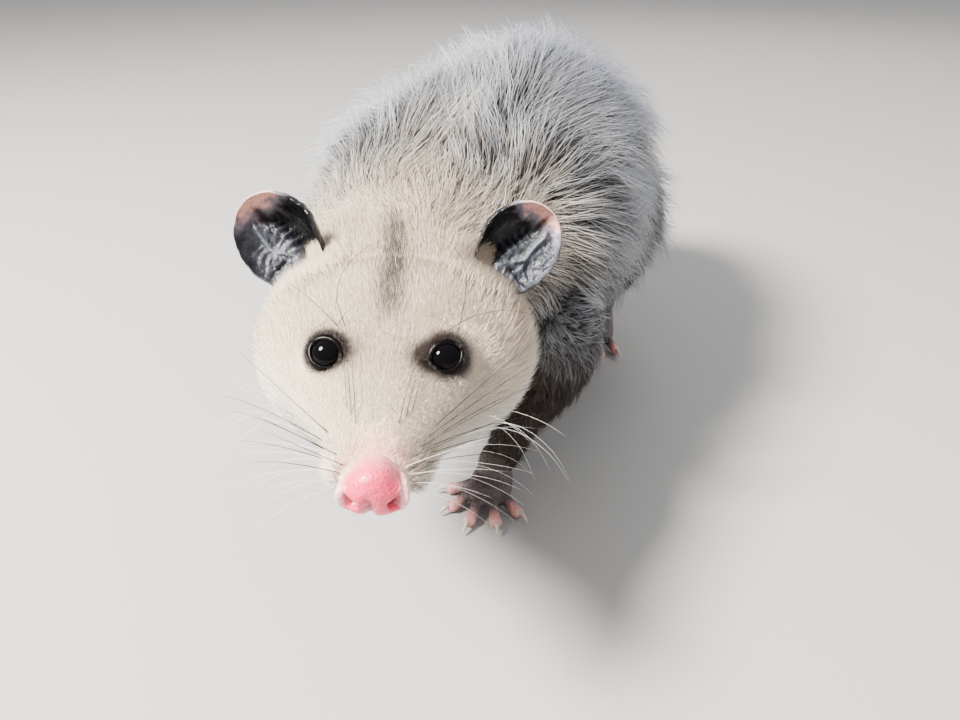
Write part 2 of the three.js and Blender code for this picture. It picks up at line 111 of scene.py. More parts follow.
# The skin is one smooth surface from the lips to the tip of the tail, drawn over the flesh.
# It lies below the ends of the fur, and only the feet, ears, nose and tail leave it bare.
MM = 0.001
HEAD_TURN, HEAD_LIFT, HEAD_ROLL = 17, 2, 2.5
SPINE_X = -9
turned = (
    Matrix.Rotation(math.radians(HEAD_TURN), 3, "Z")
    @ Matrix.Rotation(math.radians(-HEAD_LIFT), 3, "X")
    @ Matrix.Rotation(math.radians(HEAD_ROLL), 3, "Y")
)
head_axes = np.array(turned)
head_origin = between_eyes - head_axes @ np.array([0, -2.2, 0.4]) * MM
body_origin = head_origin - np.array([0, 0, 115]) * MM


def from_head(points):
    return np.asarray(points, float) @ head_axes.T * MM + head_origin


def to_head(points):
    return (np.asarray(points) - head_origin) @ head_axes / MM


def from_body(points):
    return np.asarray(points, float) * MM + body_origin


def to_body(points):
    return (np.asarray(points) - body_origin) / MM


def through(points, t):
    """Points of a smooth curve through the given ones, at shares t of its length."""
    points = np.asarray(points, float)
    last = len(points) - 1
    padded = np.vstack([2 * points[0] - points[1], points, 2 * points[last] - points[last - 1]])
    at = np.clip(np.asarray(t, float), 0, 1) * last
    i = np.minimum(at.astype(int), last - 1)
    f = (at - i)[:, None]
    a, b, c, d = (padded[i + k] for k in range(4))
    return 0.5 * (2 * b + (c - a) * f + (2 * a - 5 * b + 4 * c - d) * f**2 + (3 * b - 3 * c + d - a) * f**3)


def unit(v):
    return v / np.maximum(np.linalg.norm(v, axis=-1, keepdims=True), 1e-12)


def smooth(x, low, high):
    t = np.clip((np.asarray(x, float) - low) / (high - low), 0, 1)
    return t * t * (3 - 2 * t)


def read(items, key, width=1, kind=float):
    values = np.zeros(len(items) * width, kind)
    items.foreach_get(key, values)
    return values.reshape(-1, width) if width > 1 else values


def points_of(piece):
    return read(piece.data.vertices, "co", 3)


def reshaped(piece, points):
    piece.data.vertices.foreach_set("co", points.ravel())


def picked(*pieces):
    """Selects only these pieces, with the first one active."""
    bpy.ops.object.select_all(action="DESELECT")
    for piece in pieces:
        piece.select_set(True)
    bpy.context.view_layer.objects.active = pieces[0]


def faced_outwards(merge=None):
    """Turns the active piece's faces outwards, after merging points that lie within the given distance."""
    bpy.ops.object.mode_set(mode="EDIT")
    bpy.ops.mesh.select_all(action="SELECT")
    if merge:
        bpy.ops.mesh.remove_doubles(threshold=merge)
    bpy.ops.mesh.normals_make_consistent(inside=False)
    bpy.ops.object.mode_set(mode="OBJECT")


def ball(name, around, along):
    bpy.ops.object.select_all(action="DESELECT")
    bpy.ops.mesh.primitive_uv_sphere_add(segments=around, ring_count=along, radius=1)
    bpy.context.object.name = name
    return bpy.context.object, points_of(bpy.context.object)


def rounded(name, path, sizes, place=from_body, up=(0, 0, 1), closing=0.14, belly=1.0, around=40, along=40):
    """A rounded form along a path, closed at both ends. Sizes are its half-widths and half-heights."""
    piece, co = ball(name, around, along)
    share = np.arccos(np.clip(co[:, 2], -1, 1)) / math.pi
    angle = np.arctan2(co[:, 1], co[:, 0])
    tangent = unit(through(path, share + 0.002) - through(path, share - 0.002))
    side = unit(np.cross(tangent, np.array(up, float)))
    girth = through([[w, h, 0] for w, h in sizes], share)
    inset = np.maximum(0, 1 - np.minimum(share, 1 - share) / closing)
    swell = np.sqrt(np.maximum(0, 1 - inset**2))
    fill = np.where(np.sin(angle) < 0, belly, 1.0)
    x, z = (np.sign(f(angle)) * np.abs(f(angle)) ** fill * girth[:, k] * swell
            for k, f in enumerate((np.cos, np.sin)))
    reshaped(piece, place(through(path, share) - side * x[:, None] + np.cross(side, tangent) * z[:, None]))
    faced_outwards()
    return piece


def joined(pieces, name):
    picked(*pieces)
    bpy.ops.object.join()
    pieces[0].name = name
    return pieces[0]


def fused(pieces, name, voxel, softening):
    """One closed surface over all the pieces, softened where they meet."""
    piece = joined(pieces, name)
    remesh = piece.modifiers.new("fuse", "REMESH")
    remesh.mode, remesh.voxel_size, remesh.use_smooth_shade = "VOXEL", voxel, True
    bpy.ops.object.modifier_apply(modifier="fuse")
    soften = piece.modifiers.new("soften", "SMOOTH")
    soften.factor, soften.iterations = 0.5, softening
    bpy.ops.object.modifier_apply(modifier="soften")
    return piece


SKULL = [[0, -50, -13.5], [0, -38, -13.6], [0, -22, -13.8], [0, -5, -14.5], [0, 12, -15], [0, 30, -14.5],
         [0, 50, -13], [0, 72, -13], [0, 92, -14]]
SKULL_GIRTH = [[7.4, 5], [12.6, 9.2], [20, 13.6], [31, 19], [41, 25.4], [46.4, 29.6], [46, 29.6], [40, 28],
               [28, 23]]
skull = rounded("skull", SKULL, SKULL_GIRTH, place=from_head, closing=0.07, belly=0.86, around=72, along=72)
jaw = rounded("jaw", [[0, -43, -22.5], [0, -26, -25], [0, -6, -30], [0, 22, -33.5]],
              [[5.6, 3.8], [10.2, 5.6], [15.6, 7], [24, 9]], place=from_head, closing=0.2)
whisker_pads = [
    rounded("whisker_pad", [[s * 6, -47.5, -15], [s * 10, -37, -15.8], [s * 14.5, -22, -17]],
            [[3.6, 4.2], [4.8, 5.6], [3.4, 4.6]], place=from_head, closing=0.4)
    for s in (-1, 1)
]
brows = [
    rounded("brow", [[s * 11, -4, 2.4], [s * 17, 1.5, 3.6], [s * 25, 5, 2.2]],
            [[3, 2.4], [4, 2.8], [3, 2.4]], place=from_head, closing=0.4)
    for s in (-1, 1)
]
head_skin = fused([skull, jaw, *whisker_pads, *brows], "head_skin", 1.35 * MM, 4)


def by_spine(*places):
    """Places in the body's frame, from ones whose first number is measured from the spine."""
    return [[SPINE_X + x, y, z] for x, y, z in places]


neck = rounded(
    "neck",
    [to_body(from_head([0, 40, -16])).tolist(), *by_spine([-10, 62, 108], [-11, 84, 108], [-10, 112, 108])],
    [[30, 20], [41, 30], [51, 38], [57, 44]], around=60,
)
trunk = rounded(
    "trunk",
    by_spine([-10, 82, 108], [-10, 104, 107], [-6, 140, 107], [0, 190, 109], [0, 238, 109], [0, 284, 103],
             [0, 318, 94], [0, 342, 88]),
    [[48, 38], [59, 49], [61, 58], [55, 61], [54, 59], [48, 51], [36, 38], [20, 22]],
    closing=0.16, belly=0.76, around=80, along=80,
)
LEGS = {
    "front_left": (by_spine([36, 98, 98], [48, 110, 74], [43, 112, 50], [29, 97, 31], [21, 88, 5]),
                   (12, 79), 4),
    "front_right": (by_spine([-42, 98, 98], [-55, 114, 74], [-49, 124, 50], [-35, 129, 31], [-34, 127, 5]),
                    (-43, 117), -4),
    "hind_left": (by_spine([38, 268, 102], [53, 246, 78], [52, 240, 54], [44, 264, 31], [42, 276, 5]),
                  (33, 268), 5),
    "hind_right": (by_spine([-38, 280, 102], [-53, 264, 78], [-52, 262, 54], [-46, 286, 31], [-46, 296, 5]),
                   (-55, 288), -5),
}
FRONT_GIRTH = [[18, 19], [14.5, 16], [12.4, 13.4], [9.6, 9.6], [7.6, 7.6]]
HIND_GIRTH = [[23, 28], [19, 24], [13, 16.5], [9.2, 10], [8, 8.4]]
limbs = [
    rounded(name + "_limb", path, FRONT_GIRTH if name.startswith("front") else HIND_GIRTH, up=(0, -1, 0),
            closing=0.12)
    for name, (path, _, _) in LEGS.items()
]
trunk_skin = fused([neck, trunk, *limbs], "trunk_skin", 2.8 * MM, 5)

# Each foot is a low sole with five spread digits, with a soft pad at the end of each.
# The hind thumb stands out to the inner side and has no claw.
HAND = {
    "sole": ([[0, 15, 6.5], [0, 3, 5.6], [0, -9, 4.2]], [[8.5, 7.5], [10, 6.8], [9.5, 5.4]]),
    "digits": [(78, (6, 2), 15, 3), (44, (6, -4), 15, 3), (10, (2.5, -8), 16, 3), (-20, (-2.5, -8), 15, 3),
               (-52, (-6, -4), 14, 3)],
}
HIND_FOOT = {
    "sole": ([[0, 17, 7], [0, 4, 6.6], [0, -16, 4.8], [0, -30, 4.2]],
             [[9, 8], [9.5, 7.8], [11, 6], [10, 5.4]]),
    "digits": [(98, (5, -12), 19, 3.8), (22, (6.5, -26), 16, 3), (6, (2.5, -29), 18, 3),
               (-10, (-2.5, -29), 17, 3), (-30, (-7, -25), 15, 2.9)],
}


FLOOR_GAP = 0.05 * MM


def digits_of(name):
    """What places points of a foot, and each digit's thickness and line by share of length and height."""
    _, at, turn = LEGS[name]
    c, s = math.cos(math.radians(turn)), math.sin(math.radians(turn))
    spin = np.array([[c, -s, 0], [s, c, 0], [0, 0, 1]])
    inner = -1 if name.endswith("left") else 1
    digits = []
    for heading, base, length, thick in (HAND if name.startswith("front") else HIND_FOOT)["digits"]:
        way = np.array([inner * math.sin(math.radians(heading)), -math.cos(math.radians(heading))]) * length
        start = np.array([inner * base[0], base[1]])
        digits.append((thick, lambda share, z, start=start, way=way: [*(start + way * share), z]))
    return lambda points: from_body(np.asarray(points, float) @ spin.T + [*at, 0]), digits


def above_floor(piece):
    points = points_of(piece)
    points[:, 2] = np.maximum(points[:, 2], FLOOR_GAP)
    reshaped(piece, points)


feet = []
for name, (path, _, _) in LEGS.items():
    place, digits = digits_of(name)
    sole = (HAND if name.startswith("front") else HIND_FOOT)["sole"]
    (knee_x, knee_y, _), (foot_x, foot_y, _) = path[3], path[4]
    stub = [[foot_x, foot_y, 6], [foot_x, foot_y, 14],
            [knee_x * 0.35 + foot_x * 0.65, knee_y * 0.35 + foot_y * 0.65, 22]]
    parts = [
        rounded(name + "_sole", *sole, place=place, closing=0.2, around=32, along=24),
        rounded(name + "_ankle", stub, [[8.2, 8.2], [7.8, 7.8], [7.4, 7.4]], up=(0, -1, 0), closing=0.3,
                around=28, along=18),
    ]
    for thick, reach in digits:
        line = [reach(*at)
                for at in ((-0.25, 4.6), (0.15, 5.3), (0.4, 4.7), (0.62, 3.6), (0.82, 3), (1, 2.6))]
        swell = np.array([[1, 1], [0.98, 1], [0.86, 0.86], [0.84, 0.84], [0.98, 0.94], [0.9, 0.86]]) * thick
        parts.append(rounded(name + "_digit", line, swell, place=place, closing=0.16, around=18, along=26))
    feet.append(fused(parts, name + "_foot_skin", 1.05 * MM, 3))
    above_floor(feet[-1])

# The tail is thick and furred at its root, then bare and ringed with fine scales.
# It comes down behind the rump and lies on the floor in a gentle curve.
TAIL = by_spine([0, 312, 92], [0, 350, 80], [2, 380, 57], [6, 410, 31], [11, 446, 13], [15, 488, 8.2],
                [11, 534, 6.7], [-5, 576, 5.2], [-30, 604, 3.6])
TAIL_GIRTH = [[g, g] for g in (15, 11.5, 9.4, 9.2, 8.8, 8, 6.7, 5.2, 3.5)]
tail = rounded("tail", TAIL, TAIL_GIRTH, closing=0.04, around=36, along=260)
bpy.ops.object.shade_smooth()
above_floor(tail)


# The lids are a low dark rim of bare skin that hugs each eyeball, drawn out to a corner at both ends.
# The skin of the face rises in a mound to their rim and sinks behind the open part of the ball.
EYE_RADIUS = 6.4
eye_centres = {s: np.array([s * 17.8, -2.2, 0.4]) for s in (-1, 1)}
eye_looks = {s: unit(np.array([s * 0.14, -0.81, 0.57])) for s in (-1, 1)}


def across_eye(s):
    """The directions from the middle of an eye to its outer corner and up over it."""
    corner = unit(np.cross(np.cross(eye_looks[s], np.array([s * 0.82, 0.45, 0.3])), eye_looks[s]))
    return corner, np.cross(eye_looks[s], corner)


def sleeve(name, rings):
    """A surface of four-sided faces through rings of points in the head's frame."""
    rows, turns = len(rings), len(rings[0])
    made = bpy.data.meshes.new(name)
    made.from_pydata([tuple(p) for p in from_head(np.vstack(rings))], [], [
        (r * turns + c, r * turns + (c + 1) % turns, (r + 1) * turns + (c + 1) % turns, (r + 1) * turns + c)
        for r in range(rows - 1) for c in range(turns)
    ])
    piece = bpy.data.objects.new(name, made)
    bpy.context.collection.objects.link(piece)
    picked(piece)
    return piece


def lid_ring(s):
    corner, lift = across_eye(s)
    phi = np.linspace(0, 2 * math.pi, 64, endpoint=False)
    opening = np.radians(39.5) + np.radians(3.5) * np.cos(2 * phi) + np.radians(4) * np.abs(np.cos(phi)) ** 10
    rings = []
    for t in np.linspace(0, 1, 9):
        theta = (opening + t * (np.radians(90) - opening))[:, None]
        height = (EYE_RADIUS + 0.03 + 0.6 * math.sin(min(1, t * 6) * math.pi / 2)
                  - 3.6 * max(0, t - 0.22) ** 1.2)
        spread = corner * np.cos(phi)[:, None] + lift * np.sin(phi)[:, None]
        rings.append(eye_centres[s] + (eye_looks[s] * np.cos(theta) + spread * np.sin(theta)) * height)
    piece = sleeve("lids", rings)
    wall = piece.modifiers.new("wall", "SOLIDIFY")
    wall.thickness, wall.offset = 0.5 * MM, -1
    bpy.ops.object.modifier_apply(modifier="wall")
    faced_outwards()
    bpy.ops.object.shade_smooth()
    return piece


def by_eye(local, s):
    """How high places lie along an eye's line of sight, and how far from it."""
    arm = local - eye_centres[s]
    height = arm @ eye_looks[s]
    return height, np.linalg.norm(arm - height[:, None] * eye_looks[s], axis=1)


def from_eye(local, depth=6):
    """How far a place lies from the nearer eye's line of sight, in mm, or 99 where it is beside neither."""
    nearest = np.full(len(local), 99.0)
    for s in (-1, 1):
        height, radial = by_eye(local, s)
        nearest = np.where(height > -depth, np.minimum(nearest, radial), nearest)
    return nearest


lids = [lid_ring(s) for s in (-1, 1)]
co = to_head(points_of(head_skin))
for s in (-1, 1):
    height, radial = by_eye(co, s)
    mound = np.clip(5.2 - 0.55 * (radial - 4.9) - height, 0, 5.2) * (1 - smooth(radial, 6.2, 12.5))
    hollow = np.minimum(0, np.sqrt(np.maximum(0, (EYE_RADIUS - 1.4) ** 2 - radial**2)) - height)
    move = np.where(radial < 4.7, hollow, mound) * (height > -6) * (radial < 18)
    co = co + eye_looks[s] * move[:, None]
edges = read(head_skin.data.edges, "vertices", 2, np.int32)
links = np.bincount(edges.ravel(), minlength=len(co))[:, None]
beside = from_eye(co, 9)
ease = (smooth(beside, 6, 9) * (1 - smooth(beside, 20, 26)))[:, None]
for _ in range(16):
    mean = np.zeros_like(co)
    np.add.at(mean, edges[:, 0], co[edges[:, 1]])
    np.add.at(mean, edges[:, 1], co[edges[:, 0]])
    co = co + (mean / np.maximum(links, 1) - co) * ease * 0.6
reshaped(head_skin, from_head(co))


# The mouth is closed: a fine dark groove between two low lips, cut into the skin of the head.
# It runs from under the nose back to below the eye, and the crown above it rises evenly into the neck.
def tree_of(places):
    tree = kdtree.KDTree(len(places))
    for i, p in enumerate(places):
        tree.insert(p, i)
    tree.balance()
    return tree


def nearest_in(tree, places):
    """The number of the tree's place that is nearest to each given one, and how far it is."""
    found = [tree.find(p) for p in places]
    return np.array([f[1] for f in found], int), np.array([f[2] for f in found])


mouth_tree = tree_of(np.vstack([
    through([[s * 1, -49, -19.5], [s * 8, -44, -19.2], [s * 14.2, -30, -21.2], [s * 19.6, -14, -24],
             [s * 26, 0, -26]], np.linspace(0, 1, 90))
    for s in (-1, 1)
]))


def from_mouth(local):
    """How far a place lies from the line of the mouth, in mm, or 99 where it is behind the mouth."""
    gap = np.full(len(local), 99.0)
    near = local[:, 1] < 6
    gap[near] = nearest_in(mouth_tree, local[near])[1]
    return gap


picked(head_skin)
head_skin.data.vertices.foreach_set("select", from_mouth(co) < 4)
bpy.ops.object.mode_set(mode="EDIT")
bpy.ops.mesh.select_mode(type="VERT")
bpy.ops.mesh.subdivide(number_cuts=2, smoothness=0)
bpy.ops.object.mode_set(mode="OBJECT")
co = to_head(points_of(head_skin))
gap = from_mouth(co)
depth = 1.3 * np.exp(-((gap / 0.55) ** 2)) - 0.75 * np.exp(-(((gap - 1.5) / 0.7) ** 2))
co -= unit((co + [0, 0, 17]) * [1, 0, 1]) * depth[:, None]
reshaped(head_skin, from_head(co))

co = to_head(points_of(head_skin))
neck_faces = [tuple(face.vertices) for face in trunk_skin.data.polygons]
neck_tree = bvhtree.BVHTree.FromPolygons([tuple(p) for p in to_head(points_of(trunk_skin))], neck_faces)
for i in np.flatnonzero((co[:, 1] > 22) & (co[:, 2] > -12)):
    hit = neck_tree.ray_cast(Vector((co[i, 0], co[i, 1], 90)), Vector((0, 0, -1)))[0]
    if hit is not None:
        gap = hit.z - co[i, 2]
        blend = max(0, 1 - abs(gap) / 12) ** 2 * 3
        rise = (max(gap, 0) + blend - 0.8 * float(smooth(gap, 6, 12))) * float(smooth(co[i, 2], -12, -2))
        co[i, 2] += rise * float(smooth(co[i, 1], 22, 34))
co[:, 2] += 1.6 * np.exp(-(((co[:, 1] - 33) / 10) ** 2)) * smooth(co[:, 2], -8, 4)
reshaped(head_skin, from_head(co))

skin_pieces = {"trunk": [trunk_skin], "head": [head_skin], "foot": feet, "tail": [tail], "lid": lids}
PART = {part: number for number, part in enumerate(skin_pieces)}
for part, pieces in skin_pieces.items():
    for piece in pieces:
        numbers = np.full(len(piece.data.polygons), PART[part], np.int32)
        piece.data.attributes.new("part", "INT", "FACE").data.foreach_set("value", numbers)
skin = joined(sum(skin_pieces.values(), []), "skin")
bpy.ops.object.shade_smooth()
bpy.ops.object.mode_set(mode="EDIT")
bpy.ops.mesh.select_all(action="SELECT")
bpy.ops.uv.smart_project(angle_limit=math.radians(70), island_margin=0.002)
bpy.ops.object.mode_set(mode="OBJECT")
skin.data.uv_layers.active.name = "OFBake"


# The colours of the coat: a cream face with brown round the eyes, white tips over a sooty undercoat on the
# body, blackish legs, with painted shade and a painted bluish sheen in places. Skin and fur take them from
# the same function, so they carry the same markings.
CREAM = np.array([0.91, 0.765, 0.585])
WHITE = np.array([0.90, 0.875, 0.845])
BEIGE = np.array([0.66, 0.53, 0.40])
SMUDGE = np.array([0.026, 0.016, 0.013])
SILVER = np.array([0.70, 0.735, 0.78])
GREY = np.array([0.22, 0.225, 0.24])
SOOT = np.array([0.020, 0.019, 0.021])
LEG_BROWN = np.array([0.030, 0.020, 0.015])
STRIPE = np.array([0.27, 0.215, 0.18])
# A painted bluish sheen: the pale room's light, painted as a reflection on top of the back.
PAINTED_BLUE_SHEEN = np.array([0.44, 0.48, 0.78])
BARE_PINK = np.array([0.92, 0.32, 0.31])
FOOT_GREY = np.array([0.085, 0.06, 0.06])
TOE_PINK = np.array([0.72, 0.33, 0.30])
TAIL_PINK = np.array([0.56, 0.37, 0.32])


def mix(a, b, share):
    share = np.asarray(share, float)
    share = share[:, None] if share.ndim == 1 else share
    return a * (1 - share) + b * share


def blob(places, centre, radii):
    return np.exp(-(((places - np.array(centre)) / np.array(radii)) ** 2).sum(1))


def noise_at(places, scale):
    return np.array([noise.noise(Vector(p) * scale) for p in places])


def from_legs(body):
    """Each leg's name, with how far places in the body's frame lie from its middle line."""
    for name, (path, _, _) in LEGS.items():
        line = through(path, np.linspace(0, 1, 24))
        yield name, np.linalg.norm(body[:, None] - line[None], axis=2).min(1)


def leg_share(body):
    """How much a place belongs to a leg and not to the trunk."""
    share = np.zeros(len(body))
    for name, gap in from_legs(body):
        reach = 24 if name.startswith("front") else 28
        share = np.maximum(share, (1 - smooth(gap, reach - 6, reach + 8)) * (1 - smooth(body[:, 2], 50, 84)))
    return share


def stripe_share(local):
    """How much a place belongs to the brown-grey stripe up the middle of the forehead and crown."""
    x, y, z = local.T
    return np.exp(-(((x + 0.5) / 4.6) ** 2)) * smooth(y, 1, 16) * (1 - smooth(y, 66, 96)) * smooth(z, -4, 8)


def face_tone(local):
    """The face's colour, with painted shade on the left cheek, from places in the head's frame."""
    x, y, z = local.T
    tone = mix(CREAM, BEIGE, 0.38 * smooth(y, 6, 50) * smooth(z, -4, 12))
    tone = mix(tone, WHITE, 0.8 * smooth(-z, 8, 26))
    tone = mix(tone, STRIPE, 0.68 * stripe_share(local))
    for s, wide, dark in ((-1, 0.6, 0.2), (1, 1.25, 1.0)):
        inner = blob(local, [s * 10.8, -6.8, 1.2], [4.6, 5.4, 6]) * wide
        inner += blob(local, [s * 12.4, -7.5, 1.8], [2.8, 3.8, 4.6]) * dark
        tone = mix(tone, SMUDGE, np.clip(inner, 0, 0.95))
    tone = mix(tone, SMUDGE, 1 - smooth(from_eye(local), 6.1, np.where(x < 0, 9.0, 10.6)) ** 0.8)
    # Painted shade: a grey patch on the left cheek, on the side away from the lamp.
    tone = mix(tone, GREY * 1.5, 0.25 * blob(local, [24, -10, -10], [8, 14, 8]))
    return mix(tone, BARE_PINK,
               0.95 * np.exp(-((x / 7.5) ** 2)) * (1 - smooth(y, -46, -33)) * smooth(z, -16, -10))


def ruff_share(body):
    """How much a place belongs to the cream fur that runs from the crown over the top of the neck."""
    x, y, z = body.T
    wander = 7 * np.sin(0.13 * x + 1.1) + 5 * np.sin(0.29 * x - 0.11 * z)
    return (1 - smooth(y + wander, 52, 116)) * smooth(z, 98, 126)


def body_tones(body):
    """The colour at the root and at the tip of the coat, from places in the body's frame, with painted shade
    on the left flank and a painted bluish sheen on top of the back.
    """
    x, y, z = body.T
    # The coat is darker at random, and darker still on the left flank, away from the lamp. That extra part is
    # painted shade.
    dark = np.clip(0.45 + 0.9 * noise_at(body, 0.028) + 0.35 * smooth(x - SPINE_X, 10, 60), 0, 1)
    leg, ruff = leg_share(body), ruff_share(body)
    root = mix(mix(SOOT, BEIGE, 0.75 * ruff), LEG_BROWN, leg)
    tip = mix(mix(SILVER, GREY, 0.55 * dark), mix(CREAM, BEIGE, 0.3 * smooth(z, 110, 140)), ruff)
    tip = mix(tip, STRIPE, 0.7 * stripe_share(to_head(from_body(body))))
    tip = mix(tip, WHITE * 0.9, 0.5 * smooth(-z, -70, -48))
    tip = mix(tip, LEG_BROWN * 1.7, leg)
    # The tips on top of the back take the painted bluish sheen.
    return root, mix(tip, PAINTED_BLUE_SHEEN, 0.6 * blob(body, [SPINE_X + 24, 228, 172], [34, 44, 26]))


def painted(mesh, tone):
    """Gives every point of a mesh its own colour."""
    tone = np.clip(tone.reshape(-1, 3), 0, 1)
    colours = mesh.color_attributes.new("tone", "FLOAT_COLOR", "POINT")
    colours.data.foreach_set("color", np.hstack([tone, np.ones((len(tone), 1))]).ravel())


mesh = skin.data
mesh.calc_loop_triangles()
points = points_of(skin)
face_part = read(mesh.attributes["part"].data, "value", kind=np.int32)
corners = read(mesh.loop_triangles, "vertices", 3, np.int32)
loops = read(mesh.loop_triangles, "loops", 3, np.int32)
triangle_part = face_part[read(mesh.loop_triangles, "polygon_index", kind=np.int32)]
vertex_part = np.zeros(len(points), np.int32)
vertex_part[corners.ravel()] = np.repeat(triangle_part, 3)
vertex_normals = read(mesh.vertex_normals, "vector", 3)
bake = read(mesh.uv_layers["OFBake"].data, "uv", 2)
is_head, is_foot, is_tail, is_lid = (vertex_part == PART[part] for part in ("head", "foot", "tail", "lid"))

body = to_body(points)
tone = mix(*body_tones(body), 0.25)
local = to_head(points[is_head])
tone[is_head] = mix(face_tone(local) * 0.8, SMUDGE, 0.8 * np.exp(-((from_mouth(local) / 1.3) ** 2)))
tone[is_lid] = SMUDGE * 0.08
foot_tone = np.tile(FOOT_GREY, (is_foot.sum(), 1))
for name in LEGS:
    place, digits = digits_of(name)
    for _, reach in digits:
        away = np.linalg.norm(points[is_foot] - place([reach(1, 3)])[0], axis=1) / MM
        foot_tone = mix(foot_tone, TOE_PINK, 0.95 * (1 - smooth(away, 3.5, 9.5)))
foot_tone = mix(foot_tone, TOE_PINK * 0.8, 1 - smooth(body[is_foot][:, 2], 0.6, 3))
tone[is_foot] = mix(foot_tone, LEG_BROWN, smooth(body[is_foot][:, 2], 12, 18))
TAIL_STEPS = 500
tail_line = through(TAIL, np.linspace(0, 1, TAIL_STEPS))
tail_tree = tree_of(tail_line)
tail_step = nearest_in(tail_tree, body[is_tail])[0]
tail_share = tail_step / (TAIL_STEPS - 1)
tone[is_tail] = mix(TAIL_PINK, SOOT, 1 - smooth(tail_share, 0.26, 0.44))
painted(mesh, tone)

# The straightened tail, so that its scales run in even rings whatever way it bends
straight = np.zeros((len(points), 3))
straight[is_tail] = (body[is_tail] - tail_line[(tail_share * (TAIL_STEPS - 1)).astype(int)])[:, [0, 2, 1]]
straight[is_tail, 2] = tail_share * 330
mesh.attributes.new("straight", "FLOAT_VECTOR", "POINT").data.foreach_set("vector", straight.ravel())


def node(tree, kind, **values):
    """A shader node with its settings and values. A value that is another node's output is wired in."""
    made = tree.nodes.new("ShaderNode" + kind)
    for key, value in values.items():
        if hasattr(made, key):
            setattr(made, key, value)
        elif isinstance(value, bpy.types.NodeSocket):
            tree.links.new(value, made.inputs[key.replace("_", " ")])
        else:
            made.inputs[key.replace("_", " ")].default_value = value
    return made


def raised(tree, shader, height, strength, distance, **settings):
    """Lays one more bump over those that the finish has."""
    bump = node(tree, "Bump", Height=height, Strength=strength, Distance=distance, **settings)
    if shader.inputs["Normal"].links:
        tree.links.new(shader.inputs["Normal"].links[0].from_socket, bump.inputs["Normal"])
    tree.links.new(bump.outputs["Normal"], shader.inputs["Normal"])


def toned(name, roughness, scale, low, high, depth=0.0, detail=5.0, grit=0.6, **inputs):
    """A finish whose colour comes from the mesh, varied from low to high by a fine uneven grain."""
    made, tree, shader = material(name, roughness, **inputs)
    colour = node(tree, "Attribute", attribute_name="tone").outputs["Color"]
    place = node(tree, "TexCoord").outputs["Object"]
    grain = node(tree, "TexNoise", Vector=place, Scale=scale, Detail=detail, Roughness=grit).outputs["Fac"]
    spread = node(tree, "MapRange", Value=grain, From_Min=0.3, From_Max=0.7, To_Min=low, To_Max=high)
    blend = node(tree, "VectorMath", operation="SCALE", Vector=colour, Scale=spread.outputs["Result"])
    tree.links.new(blend.outputs["Vector"], shader.inputs["Base Color"])
    if depth:
        raised(tree, shader, grain, 1.0, depth)
    return made, tree, shader, place


coat_skin, _, _, _ = toned("undercoat", 0.85, 900, 0.55, 1.18, 0.0006)
foot_skin, tree, shader, place = toned(
    "foot_skin", 0.5, 500, 0.7, 1.12, 0.0003,
    Subsurface_Weight=0.12, Subsurface_Radius=(0.004, 0.0015, 0.001), Subsurface_Scale=0.5,
)
creases = node(tree, "TexVoronoi", Vector=place, Scale=620.0)
raised(tree, shader, creases.outputs["Distance"], 0.7, 0.0005)
tail_skin, tree, shader, _ = toned("tail_skin", 0.5, 300, 0.7, 1.12, 0.0002)
rings = node(tree, "Attribute", attribute_name="straight").outputs["Vector"]
squeezed = node(tree, "Mapping", Vector=rings, Scale=(0.42, 0.42, 0.85)).outputs["Vector"]
scales = node(tree, "TexVoronoi", feature="DISTANCE_TO_EDGE", Vector=squeezed, Scale=1.0, Randomness=0.35)
scale_edge = node(tree, "MapRange", Value=scales.outputs["Distance"], From_Max=0.16)
raised(tree, shader, scale_edge.outputs["Result"], 0.9, 0.0005)
lid_skin, _, _, _ = toned("lid_skin", 0.3, 1500, 0.7, 1.12, 0.0001, Specular_IOR_Level=0.1)
for finish in (coat_skin, foot_skin, tail_skin, lid_skin):
    mesh.materials.append(finish)
mesh.polygons.foreach_set("material_index", np.array([0, 0, 1, 2, 3], np.int32)[face_part])
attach(skin, "root")
legs = [f"{end}_{side}_{part}" for end in ("front", "hind") for side in ("left", "right")
        for part in ("upper_leg", "lower_leg", "foot")]
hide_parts("head", "neck", "torso", "tail_root", "tail_middle", "tail_tip", *legs)


# The claws are small hooks of pale horn, one on every digit but the hind thumbs.
# Each grows from the top of its digit's end and curves down to the floor.
def grained(name, roughness, scale, detail, dark, light, **inputs):
    """A finish that wanders between two colours with a fine noise."""
    made, tree, shader = material(name, roughness, **inputs)
    place = node(tree, "TexCoord").outputs["Object"]
    grain = node(tree, "TexNoise", Vector=place, Scale=scale, Detail=detail).outputs["Fac"]
    ramp = node(tree, "ValToRGB", Fac=grain)
    ramp.color_ramp.elements[0].color, ramp.color_ramp.elements[1].color = (*dark, 1), (*light, 1)
    tree.links.new(ramp.outputs["Color"], shader.inputs["Base Color"])
    return made, tree, shader, grain


THUMB_THICKNESS = 3.5
claws = []
for name in LEGS:
    place, digits = digits_of(name)
    for thick, reach in digits:
        if thick < THUMB_THICKNESS:
            hook = [reach(0.84, 3.9), reach(1.04, 4), reach(1.2, 2.8), reach(1.3, 1.2)]
            claws.append(rounded("claw", hook, [[1.2, 1.3], [1, 1.1], [0.6, 0.7], [0.22, 0.22]], place=place,
                                 around=12, along=14))
claw_set = joined(claws, "claws")
bpy.ops.object.shade_smooth()
horn, tree, shader, grain = grained("horn", 0.32, 900.0, 3.0, (0.34, 0.26, 0.19), (0.66, 0.57, 0.46))
raised(tree, shader, grain, 0.5, 0.0001)
claw_set.data.materials.append(horn)
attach(claw_set, "root")


